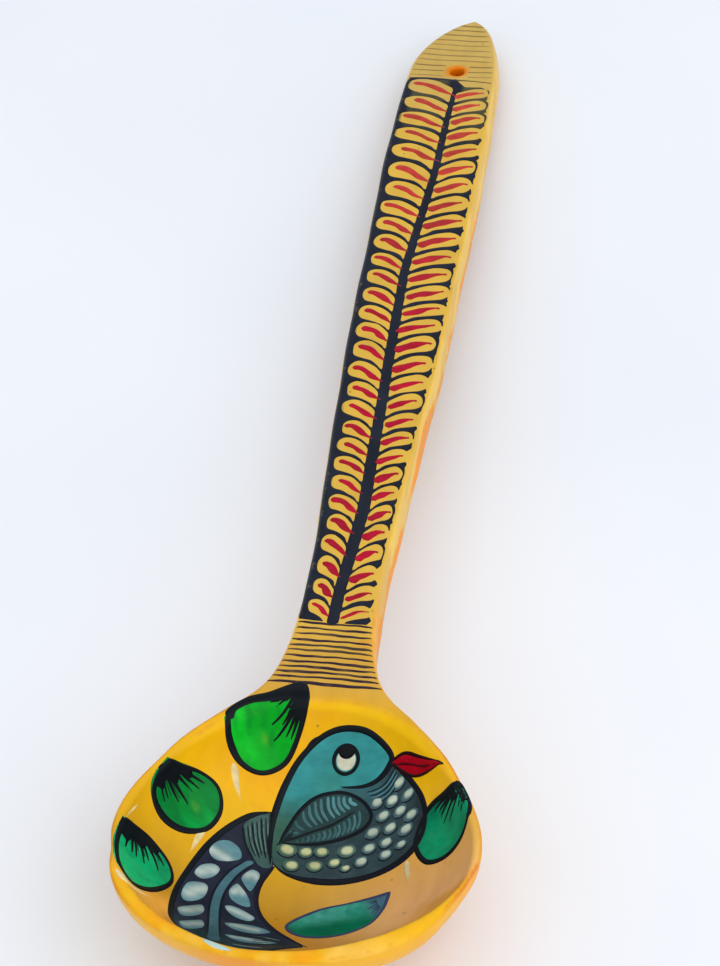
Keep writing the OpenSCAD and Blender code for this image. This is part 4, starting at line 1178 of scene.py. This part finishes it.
brush([(-7.9, 4.4), (-8.6, 8.4), (-8.8, 12.2), (-8.2, 16.6), (-6.8, 21.2), (-4.4, 25.4), (-1.0, 28.3), (2.6, 29.9), (6.4, 30.3),
       (10.2, 29.5), (13.6, 27.4), (15.8, 25), (15.1, 23.4), (13, 22.1), (10.2, 21.6), (6.8, 21.7), (3.2, 22.0)], 1.72, a=0.1, b=0.2)
brush([(-4.0, 26.0), (-1.4, 28.6), (1.6, 29.4)], 0.9, h=0.22, a=0.4, b=0.4)
brush([(15.8, 24.5), (18.4, 21.8), (20.9, 19.1), (23.4, 15.4), (24.5, 11.4), (23.6, 7.8), (20.2, 4.9), (14.6, 2.9), (7.4, 1.9),
       (0, 2.2), (-5, 3.3), (-7.8, 5.4)], 1.65, a=0.1, b=0.2, tone=lin(18, 19, 30))
brush([(-6.8, 9.9), (-5.3, 13.4), (-3.4, 16.8), (-0.8, 19.3), (2.5, 20.6), (6.1, 20.7), (9.5, 19.3), (11.7, 17.2), (12.3, 15.2),
       (10.8, 13.4), (7, 12.0), (2.8, 11.0), (-1.4, 10.3), (-6.2, 10.0)], 1.05, h=0.23, a=0.05, b=0.15, lo=0.4)
brush([(-6.2, 10.2), (-0.6, 12.9), (3.6, 14.6), (6.7, 16.2), (9.8, 18.0)], 0.72, h=0.25, tone=lin(20, 28, 32))
for j in range(4):      # fine feathers where the wing meets the neck
    brush([(-7.6 + 0.3 * j, 9.0 + 0.3 * j), (-5.4 + 0.2 * j, 10.6 + 0.5 * j), (-3.2 + 0.1 * j, 11.4 + 0.9 * j)], 0.4, h=0.24, fine=False,
          tone=lin(24, 36, 40))
for j in range(7):      # lines under the cheek
    o = 0.62 * j
    brush([(16.9 + 0.22 * j, 23.2 - 0.42 * j), (15.2 + 0.12 * j, 21.3 - 0.45 * j), (12.6 + 0.1 * j, 20.5 - 0.42 * j), (9.0 + 0.35 * j, 20.5 - 0.34 * j)],
          0.46, fine=False, tone=lin(26, 40, 48) if j % 2 == 0 else lin(78, 132, 142), b=0.4)
# scales: a dark arc under each dab
for x, y, s in SCALES:
    r = 1.68 * s
    t = np.linspace(math.pi * 1.02, math.pi * 2.06, 10)
    line = even(np.column_stack([x - 0.02 + r * np.cos(t), y + 0.25 + r * 0.88 * np.sin(t)]), 0.3)
    pot.stroke(line, taper(len(line), 0.5, 0.2, 0.25, 0.35), h=0.15, fine=False, colour=lin(22, 26, 38))
# tail outline
brush([(-9.2, 15.7), (-13.4, 13.7), (-17.6, 9.5), (-21, 4.2), (-23.4, -1.8), (-24.8, -8.2), (-24.6, -14.8), (-23.2, -20.6), (-20.4, -25.2)],
      1.5, a=0.1, b=0.15)
brush([(-7.0, 4.4), (-9.2, 0.2), (-9.5, -4.6), (-7.8, -9.2), (-4.6, -12.9), (-0.8, -15.8), (3.8, -19.4)], 1.25, a=0.1, b=0.3,
      tone=lin(22, 24, 38))
brush([(-20.4, -25.2), (-15.6, -28.2), (-10.2, -28.2), (-6.0, -24.4), (-1.6, -21), (3.0, -19.4)], 1.0, a=0.1, b=0.3, tone=lin(24, 32, 38))
brush(RIBL, 0.62, a=0.08, b=0.15, tone=lin(20, 24, 38))
brush(RIBR, 0.62, a=0.08, b=0.15, tone=lin(20, 24, 38))
brush([tuple((np.array(a) + np.array(b)) / 2) for a, b in zip(RIBL, RIBR)], 0.3, h=0.17, fine=False, tone=lin(36, 66, 78))
for j in range(7):      # the collar's fine lines
    f = j / 6
    pts = [tuple(np.array(a) * f + np.array(b) * (1 - f)) for a, b in zip(CL, CR)]
    brush(pts, 0.62 if j % 2 == 0 else 0.4, h=0.26, fine=False, tone=lin(22, 30, 38), lo=0.4)
for f in (0.09, 0.26, 0.42, 0.59, 0.76):
    pts = [tuple(np.array(a) * f + np.array(b) * (1 - f)) for a, b in zip(CL, CR)]
    brush(pts, 0.34, h=0.24, fine=False, tone=lin(98, 132, 124), lo=0.4)
for j in range(6):      # loose feather ends at the tail's tip
    brush([(-12.4 + 0.9 * j, -16.6 - 0.7 * j), (-6.6 + 0.7 * j, -16.1 - 0.6 * j), (0.2 + 0.5 * j, -16.9 - 0.4 * j)], 0.5, fine=False,
          tone=lin(22, 30, 36), b=0.6)
# beak lines
brush([(16.0, 24.3), (18.1, 24.5), (19.7, 23.9), (21.5, 22.7), (23.6, 21.25), (25.7, 19.75), (27.5, 18.5)], 0.95, h=0.24, a=0.05, b=0.45, lo=0.42, tone=lin(34, 8, 16))
brush([(16.0, 23.8), (18.3, 22.0), (19.95, 20.75), (21.45, 19.85), (23.3, 19.25), (25.3, 18.85), (27.6, 18.4)], 0.85, h=0.24, a=0.05, b=0.4, lo=0.45, tone=lin(36, 10, 16))
brush([(17.2, 23.4), (18.9, 22.8), (20.7, 21.9), (22.9, 20.6), (25.0, 19.6), (26.6, 18.95)], 0.72, h=0.36, a=0.1, b=0.3, lo=0.62, fine=False, tone=lin(74, 0, 14))
# ring of the eye
t = np.linspace(0, 2 * np.pi, 40, endpoint=False)
ring = np.column_stack([5.8 + 2.65 * np.cos(t), 26.05 + 2.1 * np.sin(t)])
pot.stroke(ring, 1.0 + 0.3 * np.clip(np.sin(t + 0.2), 0, 1), h=0.24, closed=True, colour=INK * 0.35)
pot.piece("bird_black_linework", MAT_LINE, "black_line_paint", ["bird_linework"])

pot = Pot()
pot.film([beak], h=0.15, edge=0.3, cell=0.7, colour=lambda p: mixc(lin(190, 0, 34), lin(150, 0, 24), fbm(p[:, 0], p[:, 1], 2.4, 27)))
pot.piece("bird_beak_paint", MAT_GLOSS, "red_paint", ["bird_beak"])

pot = Pot()
o = np.column_stack([5.8 + 2.3 * np.cos(t), 26.05 + 1.8 * np.sin(t)])
pot.film([even(o, 0.3, True)], h=0.18, edge=0.3, cell=0.6, colour=lin(222, 222, 200))
pot.piece("bird_eye_white_paint", MAT_GLOSS, "cream_paint", ["bird_eye_white"])

pot = Pot()
o = np.column_stack([5.9 + 1.95 * np.cos(t), 27.2 + 1.15 * np.sin(t)])
pot.film([even(o, 0.25, True)], h=0.25, edge=0.28, cell=0.5, colour=INK * 0.35)
pot.piece("bird_pupil_paint", MAT_GLOSS, "black_line_paint", ["bird_eye_pupil"])

# loose pale strokes beside the leaves, thin enough at their edges for the yellow to show
pot = Pot()
for pts, wd, a, b, ground in [
        ([(-17.5, 21.7), (-16.9, 18.9), (-15.6, 15.8)], 2.2, 0.2, 0.7, lin(240, 188, 30)),
        ([(-21.9, 8.2), (-22.9, 5.0), (-24.0, 1.2)], 2.0, 0.2, 0.7, lin(234, 184, 40)),
        ([(-35.0, -15.0), (-31.6, -17.6), (-28.0, -16.0)], 1.8, 0.3, 0.6, lin(234, 170, 60)),
        ([(21.2, 4.4), (21.7, 1.7), (22.1, -1.2)], 1.7, 0.2, 0.5, lin(206, 156, 90)),
        ([(-34.2, 3.2), (-35.2, 0.6), (-35.8, -1.6)], 0.6, 0.3, 0.6, lin(234, 180, 50))]:
    line = even(curve(pts), 0.35)

    def thin(p, line=line, wd=wd, ground=ground):
        d = np.sqrt(((p[:, None, :] - line[None]) ** 2).sum(2)).min(1) / (0.5 * wd)
        c = mixc(lin(234, 220, 176), lin(226, 204, 140), fbm(p[:, 0], p[:, 1], 1.5, 28))
        end = sm01((np.hypot(p[:, 0] - line[-1, 0], p[:, 1] - line[-1, 1]) - 0.3) / 3.0)
        return mixc(np.tile(ground, (len(p), 1)), c, (0.35 + 0.65 * end) * sm01((1.05 - d) / 0.7))

    pot.stroke(line, taper(len(line), wd, a, b), h=0.08, colour=thin)
pot.piece("pale_loose_strokes", MAT_GLOSS, "cream_paint", ["highlight_strokes"])

# ---------------------------------------------------------------------------
# Floor, light and camera
# ---------------------------------------------------------------------------
def floor_material():
    m = bpy.data.materials.new("pale_floor")
    m.use_nodes = True
    nt = m.node_tree
    bs = nt.nodes["Principled BSDF"]
    bs.inputs["Roughness"].default_value = 0.95
    bs.inputs["Specular IOR Level"].default_value = 0.1
    tc = nt.nodes.new("ShaderNodeTexCoord")
    ns = nt.nodes.new("ShaderNodeTexNoise")
    ns.inputs["Scale"].default_value = 6.0
    ns.inputs["Detail"].default_value = 2.0
    nt.links.new(tc.outputs["Object"], ns.inputs["Vector"])
    rp = nt.nodes.new("ShaderNodeValToRGB")
    rp.color_ramp.elements[0].position = 0.3
    rp.color_ramp.elements[0].color = (*lin(232, 236, 242), 1)
    rp.color_ramp.elements[1].position = 0.7
    rp.color_ramp.elements[1].color = (*lin(240, 242, 246), 1)
    nt.links.new(ns.outputs["Fac"], rp.inputs[0])
    nt.links.new(rp.outputs[0], bs.inputs["Base Color"])
    return m


me = bpy.data.meshes.new("floor")
fv, ff = [], []
NF = 24
for i in range(NF + 1):
    for j in range(NF + 1):
        u, v = (i / NF - 0.5) * 14.0, (j / NF - 0.5) * 14.0
        fv.append((u, v, 0.0))
for i in range(NF):
    for j in range(NF):
        a = i * (NF + 1) + j
        ff.append((a, a + NF + 1, a + NF + 2, a + 1))
me.from_pydata(fv, [], ff)
me.polygons.foreach_set("use_smooth", [True] * len(me.polygons))
me.materials.append(floor_material())
floor = bpy.data.objects.new("floor", me)
bpy.context.scene.collection.objects.link(floor)


def area_light(name, at, to, size, size_y, power, colour=(1, 1, 1)):
    li = bpy.data.lights.new(name, "AREA")
    li.shape = "RECTANGLE"
    li.size, li.size_y = size, size_y
    li.energy = power
    li.color = colour
    ob = bpy.data.objects.new(name, li)
    ob.location = at
    ob.rotation_euler = (Vector(to) - Vector(at)).to_track_quat("-Z", "Y").to_euler()
    bpy.context.scene.collection.objects.link(ob)
    return ob


area_light("window_light", (0.95, -0.65, 1.1), (0, 0, 0), 1.7, 1.7, 11.5, (1.0, 0.99, 0.97))
area_light("sky_light", (-0.35, 0.9, 1.5), (0, 0, 0), 1.6, 1.2, 3.5, (0.94, 0.97, 1.0))
area_light("front_fill", (-0.5, -1.3, 1.1), (0, -0.05, 0), 1.4, 1.2, 4, (0.96, 0.98, 1.0))

world = bpy.data.worlds.new("studio")
world.use_nodes = True
world.node_tree.nodes["Background"].inputs[0].default_value = (0.93, 0.96, 1.0, 1)
world.node_tree.nodes["Background"].inputs[1].default_value = 0.73
bpy.context.scene.world = world
bpy.context.scene.view_settings.view_transform = "Standard"

cam = bpy.data.cameras.new("camera")
cam.sensor_fit = "HORIZONTAL"
cam.sensor_width = 36.0
cam.lens = 140.0
cam.clip_start, cam.clip_end = 0.05, 50
camera = bpy.data.objects.new("camera", cam)
az, el, roll = 0.18143, 0.77928, 0.067638
fwd = Vector((-math.sin(az) * math.cos(el), math.cos(az) * math.cos(el), -math.sin(el)))
rt = Vector((math.cos(az), math.sin(az), 0))
up = rt.cross(fwd)
cx = math.cos(roll) * rt - math.sin(roll) * up
cy = math.sin(roll) * rt + math.cos(roll) * up
rot = Matrix((cx, cy, -fwd)).transposed()
camera.matrix_world = Matrix.Translation((0.08161, -0.48542, 0.47806)) @ rot.to_4x4()
bpy.context.scene.collection.objects.link(camera)
bpy.context.scene.camera = camera

bpy.context.view_layer.update()
